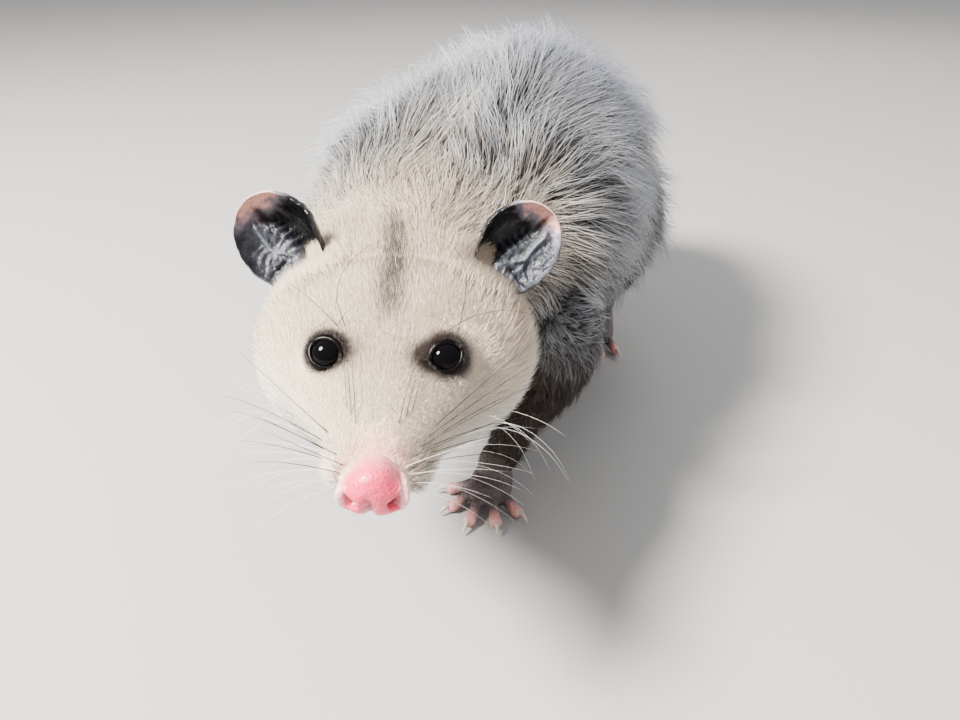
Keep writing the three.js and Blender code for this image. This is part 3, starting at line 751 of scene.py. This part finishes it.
# The eyes are round, wet and almost wholly black, with no white showing.
# The black is a very dark brown iris under clear cornea, so it takes small bright reflections.
eye_finish, _, _, _ = grained(
    "wet_eye", 0.05, 420.0, 4.0, (0.0006, 0.0006, 0.001), (0.002, 0.0016, 0.002), Specular_IOR_Level=0.09,
)
for s, side in ((-1, "right"), (1, "left")):
    eye, co = ball("eyeball_" + side, 64, 48)
    bulge = 1 + 0.07 * smooth(co @ eye_looks[s], 0.62, 1)
    reshaped(eye, from_head(eye_centres[s] + co * bulge[:, None] * EYE_RADIUS))
    bpy.ops.object.shade_smooth()
    eye.data.materials.append(eye_finish)
    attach(eye, "root")
    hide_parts("eye_" + side)


# The nose is a bare moist pad of coral pink, finely pebbled, split below by a groove.
# A nostril opens on each side as a comma, deep at the front and drawn out to a slit behind.
NOSE_X = 0.5
nose = rounded("nose_pad", [[NOSE_X, -42, -12.6], [NOSE_X, -51.5, -13], [NOSE_X, -58.6, -14.2]],
               [[7.6, 6.4], [9.9, 7.8], [8.3, 6.8]], place=from_head, closing=0.32, around=150, along=110)
co = to_head(points_of(nose))
co[:, 0] = NOSE_X + (co[:, 0] - NOSE_X) * (1 - 0.3 * smooth(co[:, 2], -14.5, -7.5))
push = np.zeros(len(co))
for s in (-1, 1):
    comma = through([[NOSE_X + s * x, y, z] for x, y, z in
                     ((6.0, -58.4, -16.6), (7.1, -57.2, -14.2), (7.2, -54.4, -11.6), (6.6, -50, -9.6))],
                    np.linspace(0, 1, 40))
    gap = np.linalg.norm(co[:, None] - comma[None], axis=2)
    hole = np.exp(-(((gap.argmin(1) / 39 - 0.2) / 0.26) ** 2))
    width = 1.25 * hole + 0.7
    gap = gap.min(1)
    push += (3.4 * hole + 0.95) * np.exp(-((gap / width) ** 2.2))
    push -= 0.8 * smooth(s * (co[:, 0] - NOSE_X), 6.2, 8.2) * np.exp(-(((gap - width * 1.9) / 1.1) ** 2))
groove = (np.exp(-(np.abs((co[:, 0] + 0.3) / 1.25) ** 1.7))
          * smooth(-co[:, 2], 10, 16.5) * smooth(-co[:, 1], 51, 56))
push += 2.4 * groove
co -= unit(co - np.array([NOSE_X, -50, -13.2])) * push[:, None]
reshaped(nose, from_head(co))
bpy.ops.object.shade_smooth()
front = smooth(-co[:, 1], 46, 57)
nose_tone = BARE_PINK
for colour, share in (
    ((0.82, 0.05, 0.125), front),
    ((0.80, 0.026, 0.08), 0.7 * front * smooth(-co[:, 2], 14, 18)),
    ((0.90, 0.54, 0.55), 0.85 * smooth(np.abs(co[:, 0] - NOSE_X), 6.8, 8.2)),
    # Darker red, then near black, the deeper the skin is pushed in: painted shade in the nostrils and the
    # groove below.
    ((0.42, 0.03, 0.05), 0.75 * smooth(push, 0.45, 1.1)),
    ((0.06, 0.006, 0.01), smooth(push, 1.6, 3)),
):
    nose_tone = mix(nose_tone, np.array(colour), share)
painted(nose.data, nose_tone)
moist, tree, shader, place = toned(
    "moist_nose", 0.34, 700, 0.78, 1.088, 0.0002, Coat_Weight=0.35, Coat_Roughness=0.18,
    Subsurface_Weight=0.25, Subsurface_Radius=(0.004, 0.0014, 0.001), Subsurface_Scale=0.6,
)
pebbles = node(tree, "TexVoronoi", Vector=place, Scale=1150.0)
raised(tree, shader, pebbles.outputs["Distance"], 0.55, 0.0003, invert=True)
nose.data.materials.append(moist)
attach(nose, "root")
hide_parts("nose")


# The ears are thin bare cups of leathery skin, blackish, crossed inside by low ridges.
# Their rims are crinkled, and the skin fades to pink at the upper outer edge.
ear_finish, tree, shader, place = toned("ear_leather", 0.3, 900, 0.65, 1.14, 0.0003)
wrinkles = node(tree, "TexNoise", Vector=place, Scale=520.0, Detail=6.0, Distortion=1.2)
raised(tree, shader, wrinkles.outputs["Fac"], 0.8, 0.0008)
EAR_TURNS, EAR_ROWS = 200, 104
ear_frames = {}


def ear_folds(a, b, crumple):
    """The folds inside an ear cup, at places measured outwards and up: lobe, ribs, ridge, slit and crease."""
    edge = a - (-3.0 + 0.2 * (b - 11) + 1.4 * crumple)
    lobe = smooth(edge, -0.9, 1.5) * (1 - 0.45 * smooth(a, 6, 9)) * (1 - smooth(b, 23, 29))
    ribs = ((0.5 + 0.5 * np.sin(b * 2.1 + a * 0.5 + 2.5 * crumple)) ** 2.5
            * np.exp(-(((edge - 1.2) / 2.8) ** 2)))
    ribs = ribs * smooth(b, 5, 9) * (1 - smooth(b, 21, 25))
    line = 5.4 - 3.4 * smooth(-b, -15, -9) + 1.2 * crumple
    ridge = np.exp(-(((a - line) / 0.75) ** 2)) * smooth(b, 8, 12) * (1 - smooth(b, 25, 29))
    slit = np.exp(-(((a - 1.4 - 0.15 * (b - 26)) / 1.1) ** 2)) * smooth(b, 19, 23) * (1 - smooth(b, 29, 32))
    crease = np.exp(-(((b - 7.6 + 0.2 * (a - 7)) / 0.9) ** 2)) * smooth(a, 2, 5)
    return lobe, ribs, ridge, slit, crease


def crumpled(co, s):
    return noise_at(np.stack([co[:, 0], co[:, 2], np.full(len(co), s * 7)], 1), 0.13)


for s, side, wide in ((-1, "right", 15.2), (1, "left", 14.8)):
    length_way = unit(np.array([s * 0.62, 0.3, 0.74]))
    facing = np.array([s * 0.2, -0.87, 0.42])
    facing = unit(facing - length_way * (facing @ length_way))
    ear_axes = np.stack([np.cross(-facing, length_way), -facing, length_way], 1)
    ear_root = np.array([s * 33.0, 44, 9])
    ear_frames[s] = (ear_axes, ear_root)
    phi = np.linspace(0, 2 * math.pi, EAR_TURNS, endpoint=False)
    shell = []
    for t in np.arange(EAR_ROWS) / (EAR_ROWS - 1):
        outer = t < 0.5
        theta = math.radians(104) * (t * 2 if outer else 2 - t * 2)
        radii = (wide, 9.2, 18.6) if outer else (wide - 0.7, 9.0, 17.9)
        level, lift = (0, 15) if outer else (-1.0, 15.2)
        shell.append(np.stack([radii[0] * math.sin(theta) * np.cos(phi),
                               np.full(EAR_TURNS, level + radii[1] * math.cos(theta)),
                               lift + radii[2] * math.sin(theta) * np.sin(phi)], 1))
    co = np.vstack(shell)
    inside = np.repeat(np.arange(EAR_ROWS), EAR_TURNS) >= EAR_ROWS / 2
    a, b = s * co[:, 0], co[:, 2]
    from_rim = np.sqrt(((a / wide) ** 2) + (((b - 15) / 18.6) ** 2))
    crumple = crumpled(co, s)
    fine = noise_at(np.stack([co[:, 0] * 1.6, co[:, 2] * 0.8, np.full(len(co), s * 3)], 1), 0.5)
    lobe, ribs, ridge, slit, crease = ear_folds(a, b, crumple)
    pleats = np.sin(a * 1.3 + b * 1.9 + 6 * crumple) * smooth(a, 6, 9)
    folds = 3.0 * lobe + 0.8 * ribs + 1.0 * ridge - 1.5 * slit - 1.3 * crease + 0.3 * pleats
    co[:, 1] -= folds * (1 - smooth(from_rim, 0.74, 0.98)) * inside
    co[:, 1] += 3.2 * smooth(-a, 0, 6) * (1 - smooth(from_rim, 0.55, 0.95)) + 1.6 * smooth(b, 25, 34)
    co[:, 1] += 1.3 * crumple * smooth(b, 3, 16) + 0.45 * fine * (1 - smooth(-a, 2, 5))
    tucked = smooth(-a, 0, 12) * (1 - smooth(b, 6, 18))
    co += tucked[:, None] * [0, 5, -7]
    co[:, 0] *= 1 + 0.04 * fine - 0.32 * tucked
    ear = sleeve("ear_cup_" + side, (co @ ear_axes.T + ear_root).reshape(EAR_ROWS, EAR_TURNS, 3))
    faced_outwards(merge=0.00001)
    bpy.ops.object.shade_smooth()
    place = (to_head(points_of(ear)) - ear_root) @ ear_axes
    a, b = s * place[:, 0], place[:, 2]
    mottle = noise_at(place, 0.34)
    lobe, ribs, ridge, slit, crease = ear_folds(a, b, crumpled(place, s))
    ear_tone = np.array([0.004, 0.004, 0.006])
    for colour, share in (
        # The folded lobe and outer edge in dark grey against the black hollow. This is partly the leather's
        # own grey and partly a painted sheen.
        ((0.07, 0.077, 0.098), np.clip(lobe * (0.5 + 0.9 * mottle) + 0.35 * smooth(a, 4, 9), 0, 1)),
        ((0.30, 0.28, 0.34), 0.75 * smooth(b + 0.25 * mottle * 6, 24.5, 28.5)),
        # Painted highlights: lighter grey along the ribs and the ridge.
        ((0.17, 0.19, 0.23), 0.6 * np.clip(0.7 * ribs + ridge, 0, 1)),
        ((0.86, 0.45, 0.40), smooth(b + 3 * mottle, 28.2, 30.6)),
        # Painted shadow: black down the slit and the crease.
        ((0.004, 0.004, 0.005), 0.95 * np.clip(slit + 0.8 * crease, 0, 1)),
    ):
        ear_tone = mix(ear_tone, np.array(colour), share)
    painted(ear.data, ear_tone)
    ear.data.materials.append(ear_finish)
    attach(ear, "root")
    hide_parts("ear_" + side)


# The coat is two layers: dense soft underfur, dark at the skin, and long stiff white guard hairs over it.
# Each tuft is a thin tapered lock rooted in the skin, and neighbours lean together into pointed clumps.
NOSE_TIP = np.array([0, -60, -12.0])
TUFT_PATCH = 0.003
MOST_TRIANGLES = 190000


def scattered(count, wanted, seed):
    """Random places on the skin, thicker where wanted() is high: place, normal, bake place and skin part."""
    rng = np.random.default_rng(seed)
    a, b, c = (points[corners[:, k]] for k in range(3))
    area = np.linalg.norm(np.cross(b - a, c - a), axis=1) / 2
    weight = area * wanted((a + b + c) / 3, triangle_part)
    chosen = rng.choice(len(corners), count, p=weight / weight.sum())
    u, v = rng.random(count), rng.random(count)
    over = u + v > 1
    u[over], v[over] = 1 - u[over], 1 - v[over]
    share = np.stack([1 - u - v, u, v], 1)[:, :, None]
    at = corners[chosen]
    return ((points[at] * share).sum(1), unit((vertex_normals[at] * share).sum(1)),
            (bake[loops[chosen]] * share).sum(1), triangle_part[chosen])


def lie_of(place, normal, part):
    """The way the coat lies: back from the nose, back and down the flanks, down the legs, along the tail."""
    local, body = to_head(place), to_body(place)
    away = unit(local - NOSE_TIP)
    away[:, 2] -= 0.25 * smooth(-local[:, 2], 8, 30)
    flank = (body[:, 0] - SPINE_X) / 60
    way = unit(np.stack([0.28 * flank, np.ones(len(place)),
                         -0.15 - 0.7 * np.minimum(np.abs(flank), 1) ** 1.5], 1))
    way[:, 2] -= 0.9 * smooth(body[:, 1], 300, 340)
    way = mix(way, np.array([0.0, 0.25, -1.0]), leg_share(body))
    way = unit(mix(way, unit(away) @ head_axes.T, part == PART["head"]))
    on_tail = part == PART["tail"]
    if on_tail.any():
        at = nearest_in(tail_tree, body[on_tail])[0]
        way[on_tail] = unit(tail_line[np.minimum(at + 4, TAIL_STEPS - 1)] - tail_line[np.maximum(at - 4, 0)])
    return unit(way - normal * (way * normal).sum(1, keepdims=True))


def rippled(way, normal, place, amount, scatter, seed):
    """The lie turned a little about the normal, together over broad waves and singly at random."""
    turn = (amount * noise_at(place, 38) * 2
            + scatter * np.random.default_rng(seed).standard_normal(len(place)))
    return way * np.cos(turn)[:, None] + np.cross(normal, way) * np.sin(turn)[:, None]


def clumped(strands, place, count, strength, seed):
    """Strands drawn towards the strand of the nearest clump leader, more and more to their tips."""
    rng = np.random.default_rng(seed)
    leaders = rng.choice(len(place), min(count, len(place)), replace=False)
    led = leaders[nearest_in(tree_of(place[leaders]), place)[0]]
    pull = np.broadcast_to(strength, (len(place),))[:, None] * np.linspace(0, 1, strands.shape[1]) ** 1.4
    pull = (pull * rng.uniform(0.45, 1.0, len(place))[:, None])[:, :, None]
    return strands * (1 - pull) + strands[led] * pull


def strands_from(place, normal, way, length, rise, fall, segments, droop=0.05):
    """Curved middle lines that leave the skin at a slant and bend over along the lie."""
    t = np.linspace(0, 1, segments + 1)[None, :, None]
    length = length[:, None, None]
    rise = np.broadcast_to(np.asarray(rise, float), (len(place),))[:, None, None]
    line = place[:, None] + length * (normal[:, None] * (rise * t - fall * rise * t**2)
                                      + way[:, None] * ((1 - 0.35 * rise) * t + 0.1 * t**2))
    line[:, :, 2] -= (droop * length * t**2)[:, :, 0]
    line[:, :, 2] = np.maximum(line[:, :, 2], 0.4 * MM)
    return line


def tufts(name, strands, width, patch, root_tone, tip_tone, taper=0.8):
    """One mesh of three-sided tapered locks along the strands, coloured from root to tip."""
    count, steps = strands.shape[:2]
    segments = steps - 1
    each = segments * 3 + 1
    side = unit(np.cross(unit(np.gradient(strands, axis=1)), np.array([0.31, 0.22, 0.93])))
    lift = np.cross(side, unit(np.gradient(strands, axis=1)))
    t = np.linspace(0, 1, steps)
    girth = ((width / 2)[:, None] * ((1 - t) ** taper)[None])[:, :segments, None, None]
    angle = (np.array([90, 210, 330]) * math.pi / 180)[None, None, :, None]
    rings = (strands[:, :segments, None] + side[:, :segments, None] * np.cos(angle) * girth
             + lift[:, :segments, None] * np.sin(angle) * girth)
    co = np.concatenate([rings.reshape(count, -1, 3), strands[:, segments:]], 1)
    cell = [(0, 2, 1)]
    for a in range(each - 4):
        b = a - 2 if a % 3 == 2 else a + 1
        cell += [(a, b, b + 3), (a, b + 3, a + 3)]
    cell = np.array(cell + [(each - 4 + c, each - 4 + (c + 1) % 3, each - 1) for c in range(3)], np.int32)
    index = (np.arange(count, dtype=np.int32)[:, None, None] * each + cell[None]).reshape(-1)
    made = bpy.data.meshes.new(name)
    made.vertices.add(count * each)
    made.vertices.foreach_set("co", co.ravel())
    made.loops.add(len(index))
    made.loops.foreach_set("vertex_index", index)
    made.polygons.add(len(index) // 3)
    made.polygons.foreach_set("loop_start", np.arange(0, len(index), 3, dtype=np.int32))
    made.update(calc_edges=True)
    share = (np.concatenate([np.repeat(t[:segments], 3), [1.0]]) ** 1.2)[None, :, None]
    painted(made, root_tone[:, None] * (1 - share) + tip_tone[:, None] * share)
    corner_place = np.stack([np.append(np.tile([-0.5, 0, 0.5], segments), 0),
                             np.append(np.repeat(t[:segments], 3), 1) - 0.5], 1) * TUFT_PATCH
    spread = (patch[:, None, None] + corner_place[cell][None].reshape(1, -1, 1, 2)).reshape(-1, 2)
    made.uv_layers.new(name="OFBake").data.foreach_set("uv", spread.ravel())
    made.polygons.foreach_set("use_smooth", np.ones(len(index) // 3, bool))
    made.materials.append(hair)
    piece = bpy.data.objects.new(name, made)
    bpy.context.collection.objects.link(piece)
    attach(piece, "root")


def in_pieces(name, strands, width, patch, root_tone, tip_tone):
    """The same layer as several meshes from front to back, none of them too large."""
    pieces = int(np.ceil(len(strands) * (6 * strands.shape[1] - 8) / MOST_TRIANGLES))
    for number, part in enumerate(np.array_split(np.argsort(strands[:, 0, 1]), pieces), 1):
        tufts(f"{name}_{number}", strands[part], width[part], patch[part], root_tone[part], tip_tone[part])


hair, _, _, _ = toned("coat_hair", 0.5, 1500, 0.72, 1.12, detail=2.0, grit=0.5, Specular_IOR_Level=0.35)


def under_head(local):
    """Whether a place on the neck lies below the skin of the head, from places in the head's frame."""
    x, y, z = local.T
    line, girth = np.array(SKULL), np.array(SKULL_GIRTH)
    wide, high, level = (np.interp(y, line[:, 1], sizes) for sizes in (girth[:, 0], girth[:, 1], line[:, 2]))
    inside = (((x / wide) ** 2 + ((z - level) / high) ** 2) < 0.8) & (y < 88)
    return inside | ((y < 54) & (z > -10) & (np.abs(x) < 0.9 * wide))


def body_wanted(place, part):
    """Fur on trunk and upper legs, thinner low on the legs and under the head, none inside the head."""
    body = to_body(place)
    x, y, z = body.T
    on = (np.where(part == PART["tail"], 1 - smooth(y, 366, 404), part == PART["trunk"])
          * ~under_head(to_head(place)))
    return on * (1 + 0.9 * smooth(-z, -60, -30)) * (1 + 1.3 * ruff_share(body)) * smooth(z, 11, 17)


def limb_share(body):
    """How near a place lies to the middle line of a leg, also where the leg is part of the trunk."""
    return ((1 - smooth(np.min([gap for _, gap in from_legs(body)], 0), 20, 44))
            * (1 - smooth(body[:, 2], 92, 118)))


def body_length(body, leg, on_tail):
    x, y, z = body.T
    long = (9 + 32 * smooth(y, 46, 136)) * (1 - 0.25 * smooth(y, 290, 340))
    long = long * (1 - limb_share(body) * (0.55 - 0.3 * smooth(y, 170, 220)))
    long = long * (1 - 0.14 * smooth(SPINE_X - x, 42, 60)) * (1 - 0.3 * smooth(-z, -62, -46))
    long = long * (1 - leg) + (7 + 9 * smooth(z, 26, 70)) * leg
    return np.where(on_tail, 17 - 10 * smooth(y, 340, 400), long)


def body_layer(name, count, seed, length_share, rise, fall, width, segments, clumps, strength, shade):
    place, normal, patch, part = scattered(count, body_wanted, seed)
    rng = np.random.default_rng(seed + 1)
    body = to_body(place)
    on_tail = part == PART["tail"]
    leg, ruff = leg_share(body), ruff_share(body)
    way = rippled(lie_of(place, normal, part), normal, place, 0.7, 0.26, seed + 2)
    length = body_length(body, leg, on_tail) * length_share * rng.uniform(0.72, 1.15, count) * MM
    slant = rise * (1 - 0.6 * np.maximum(leg, limb_share(body))) * (1 - 0.45 * on_tail) * (1 - 0.5 * ruff)
    strands = strands_from(place, normal, way, length, slant * rng.uniform(0.75, 1.2, count), fall, segments)
    strands = clumped(strands, place, clumps, strength * (1 - 0.45 * ruff), seed + 3)
    root_tone, tip_tone = body_tones(body + rng.normal(0, 5, body.shape) * [1, 1.4, 1])
    root_tone[on_tail], tip_tone[on_tail] = SOOT, SOOT * 1.6
    uneven = rng.uniform(0.75, 1.15, count)[:, None]
    root_tone, tip_tone = shade(root_tone * uneven, tip_tone * uneven, (1 - leg) * (1 - ruff))
    thin = width * (1 - 0.45 * leg) * (1 - 0.45 * ruff) * rng.uniform(0.8, 1.2, count) * MM
    in_pieces(name, strands, thin, patch, root_tone, tip_tone)


body_layer("underfur", 36000, 11, 0.64, 0.6, 0.35, 0.9, 2, 5200, 0.5,
           lambda root, tip, grizzled: (root, mix(tip, root, 0.8 * grizzled)))
body_layer("guard_hair", 30000, 23, 1.1, 0.72, 0.42, 0.36, 3, 3400, 0.76,
           lambda root, tip, grizzled: (mix(root, tip, 0.08), tip * 1.1))


# The face wears very short plush that lies back from the nose, longer on cheeks and crown.
# It thins out at the lips, lids and nose, and longer cream tufts overlap the foot of each ear.
def face_wanted(place, part):
    local = to_head(place)
    x, y, z = local.T
    beside = from_eye(local)
    on = ((part == PART["head"]) * (1 - smooth(y, 76, 84)) * (0.35 + 0.65 * smooth(z, -34, -20))
          * (beside >= 5.1))
    for s in (-1, 1):
        on = on * (np.linalg.norm(local - eye_centres[s], axis=1) >= EYE_RADIUS + 0.2)
    on = (on * (1 + 0.6 * (1 - smooth(y, 20, 40)) * smooth(z, -26, -16))
          * (1 + 1.2 * (1 - smooth(beside, 6, 11))))
    narrow = 1 - 0.3 * smooth(z, -14.5, -7.5)
    nose_gap = np.sqrt(((x - NOSE_X) / narrow / 10) ** 2 + ((y + 50) / 10) ** 2 + ((z + 13.3) / 8.6) ** 2)
    bare = np.exp(-((x / 5.5) ** 4)) * (1 - smooth(y, -43, -31)) * smooth(z, -16, -11)
    return on * smooth(nose_gap, 1.0, 1.1) * (1 - 0.97 * bare) * smooth(from_mouth(local), 0.6, 1.5)


def pad_share(local):
    """How much a place belongs to the fuller white fur on the whisker pads, beside and behind the nose."""
    x, y, z = local.T
    return smooth(np.abs(x), 5.5, 9.5) * (1 - smooth(y, -40, -20)) * smooth(-z, 8.5, 13)


def face_length(local):
    x, y, z = local.T
    long = 2.2 + 3.4 * smooth(y, -42, 10) + 3.2 * pad_share(local) + 3.2 * smooth(y, 16, 64)
    long += 6.5 * smooth(np.abs(x), 27, 44) * smooth(y, -8, 30) * (1 - smooth(z, -2, 12))
    long += 4 * smooth(y, 54, 84) + 3 * smooth(-z, 22, 36)
    return long * (1 - 0.55 * (1 - smooth(from_eye(local), 6, 13)))


def face_layer(name, wanted, count, seed, length_share, rise, width, segments, clumps, strength):
    place, normal, patch, part = scattered(count, wanted, seed)
    rng = np.random.default_rng(seed + 1)
    local = to_head(place)
    way = rippled(lie_of(place, normal, part), normal, place, 0.25, 0.2, seed + 2)
    long = face_length(local) * length_share * rng.uniform(0.7, 1.2, count)
    slant = rise * rng.uniform(0.6, 1.3, count) * (0.9 - 0.3 * smooth(local[:, 1], 16, 60))
    slant = slant * (1 + 0.7 * pad_share(local))
    strands = strands_from(place, normal, way, long * MM, slant, 0.45, segments, 0.03)
    strands = clumped(strands, place, clumps, strength, seed + 3)
    dark = 0.7 * stripe_share(local) + 0.5 * blob(local, [12, -40, -13.5], [4, 8, 5])
    tone = mix(face_tone(local), STRIPE * 0.4, 0.9 * (rng.random(count) < dark))
    uneven = rng.uniform(0.84, 1.1, count)[:, None]
    root_tone = mix(tone, SMUDGE * 2.2, 0.08 + 0.14 * smooth(local[:, 1], 20, 60)) * uneven
    thin = width * (0.62 + 0.38 * smooth(long, 3, 9)) * rng.uniform(0.8, 1.2, count) * MM
    in_pieces(name, strands, thin, patch, root_tone, tone * uneven * 1.05)


def fluffy_wanted(place, part):
    local = to_head(place)
    x, y, z = local.T
    fluffy = np.maximum(smooth(np.abs(x), 22, 40) * smooth(y, -22, 6), smooth(y, 18, 70))
    return face_wanted(place, part) * fluffy * smooth(from_eye(local), 9, 14)


face_layer("face_plush", face_wanted, 108000, 41, 1.0, 0.42, 0.24, 1, 26000, 0.3)
face_layer("cheek_fur", fluffy_wanted, 18500, 47, 1.4, 0.4, 0.22, 2, 4200, 0.25)


def ear_foot_wanted(place, part):
    local = to_head(place)
    wanted = np.zeros(len(place))
    for s, (ear_axes, ear_root) in ear_frames.items():
        gap = np.linalg.norm((local - (ear_root - [s * 2, 2, -2])) / [13, 12, 20], axis=1)
        wanted += np.exp(-(((gap - 0.7) / 0.36) ** 2)) * (s * local[:, 0] > 12)
        inner_foot = ear_root + ear_axes @ np.array([-s * 8.5, -3, 1])
        wanted += 1.8 * np.exp(-((np.linalg.norm(local - inner_foot, axis=1) / 5) ** 2))
    return wanted * (part == PART["head"])


EAR_TUFTS = 6000
place, normal, patch, part = scattered(EAR_TUFTS, ear_foot_wanted, 53)
rng = np.random.default_rng(54)
local = to_head(place)
up_ear = np.stack([np.where(local[:, 0] > 0, 0.42, -0.42),
                   np.full(EAR_TUFTS, 0.3), np.full(EAR_TUFTS, 0.8)], 1)
way = unit(0.7 * unit(up_ear @ head_axes.T) + lie_of(place, normal, part))
way = rippled(way, normal, place, 0.3, 0.25, 55)
strands = strands_from(place, normal, way, rng.uniform(6, 10.5, EAR_TUFTS) * MM, 0.28, 0.4, 2, 0.02)
strands = clumped(strands, place, 700, 0.5, 56)
tone = face_tone(local) * rng.uniform(0.85, 1.1, EAR_TUFTS)[:, None]
in_pieces("ear_foot_fur", strands, rng.uniform(0.2, 0.32, EAR_TUFTS) * MM, patch, tone * 0.75, tone)


# Whiskers are long stiff tapered hairs: rows of them on the muzzle, tufts on the cheeks and brows.
# Those that cross the face are dark and those below are white. Short dark lashes rim the eyes.
whisker_lines, whisker_tones = [], []


def whisker(line, dark):
    whisker_lines.append(from_head(through(line, np.linspace(0, 1, 10))))
    whisker_tones.append(dark)


rng = np.random.default_rng(71)
for s in (-1, 1):
    for row in range(4):
        for column in range(5):
            start = np.array([s * (8.2 + 1.35 * column + 0.7 * row), -45.5 + 4.3 * column, -10.6 - 2.5 * row])
            long = 26 + 6.5 * column + rng.uniform(-3, 4)
            out = unit(np.array([s * (1.0 - 0.04 * column), 0.05 + 0.17 * column + rng.uniform(-0.08, 0.08),
                                 0.42 - 0.3 * row + rng.uniform(-0.08, 0.08)])) * long
            bow = np.array([0, 0.16, -0.13 - 0.07 * row]) * long
            whisker([start, start + out * 0.35 - bow * 0.18, start + out * 0.7 + bow * 0.1,
                     start + out + bow * rng.uniform(0.5, 1.0)], row < 2 and rng.random() < 0.75)
    for k in range(3):
        start = np.array([s * (5.5 + 1.5 * k), -37.0 + 2 * k, -6.5 - 0.8 * k])
        whisker([start, start + [s * 1.5, 9, 6.5], start + [s * 3.2, 19, 9.5],
                 start + [s * (4 + k), 27, 11]], True)
    for k in range(6):
        start = np.array([s * (30 + rng.uniform(-4, 3)), rng.uniform(-7, 5), -19 + rng.uniform(-5, 4)])
        fall, far = rng.uniform(0.5, 1.5), s * rng.uniform(0.7, 1.15)
        whisker([start, start + [11 * far, -3, 0], start + [21 * far, -5, -6 * fall],
                 start + [29 * far, -5, -17 * fall]], False)
for line in (
    [[-13, 4, 6], [-16.6, 8, 16], [-14.8, 16, 22.5], [-8.7, 24, 27], [-0.5, 29, 29.5]],
    [[21.5, 5, 5], [23.8, 9, 17], [23.2, 17, 25], [16.6, 26, 30.5], [9, 30, 31]],
    [[-15, 4, 6.5], [-21, 7, 11.5], [-29, 13, 15.5], [-38, 21, 17]],
    [[18, 4, 7], [27, 8, 11], [38, 12, 11.5], [48, 14, 9]],
    [[-17, 3, 6], [-14, 6, 11], [-9, 10, 14]],
):
    whisker(line, True)
LASH_ANGLE = math.radians(48)
for s in (-1, 1):
    corner, lift = across_eye(s)
    lift = lift if lift[2] > 0 else -lift
    for phi in np.radians(np.linspace(-20, 200, 34)):
        out = corner * math.cos(phi) + lift * math.sin(phi)
        edge = eye_looks[s] * math.cos(LASH_ANGLE) + out * math.sin(LASH_ANGLE)
        root = eye_centres[s] + edge * (EYE_RADIUS + 0.4)
        lash = unit(edge * 0.55 + out * 0.8) * (rng.uniform(2.4, 4.4) + 1.6 * abs(math.cos(phi)) ** 3)
        whisker([root, root + lash * 0.5, root + lash + [0, 0.4, 0.5]], True)
strands = np.array(whisker_lines)
long = np.linalg.norm(strands[:, -1] - strands[:, 0], axis=1) / MM
dark = np.array(whisker_tones, float)
tone = mix(WHITE * 0.95, SMUDGE * 0.4, dark)
loop_vertex = read(mesh.loops, "vertex_index", kind=np.int32)
first_loop = np.zeros(len(points), np.int32)
first_loop[loop_vertex] = np.arange(len(loop_vertex))
patch = bake[first_loop[nearest_in(tree_of(points), strands[:, 0])[0]]]
width = np.where(long > 8, 0.15 + 0.18 * dark, 0.26) * MM
tufts("whiskers", strands, width, patch, tone, tone * 1.05, taper=0.6)
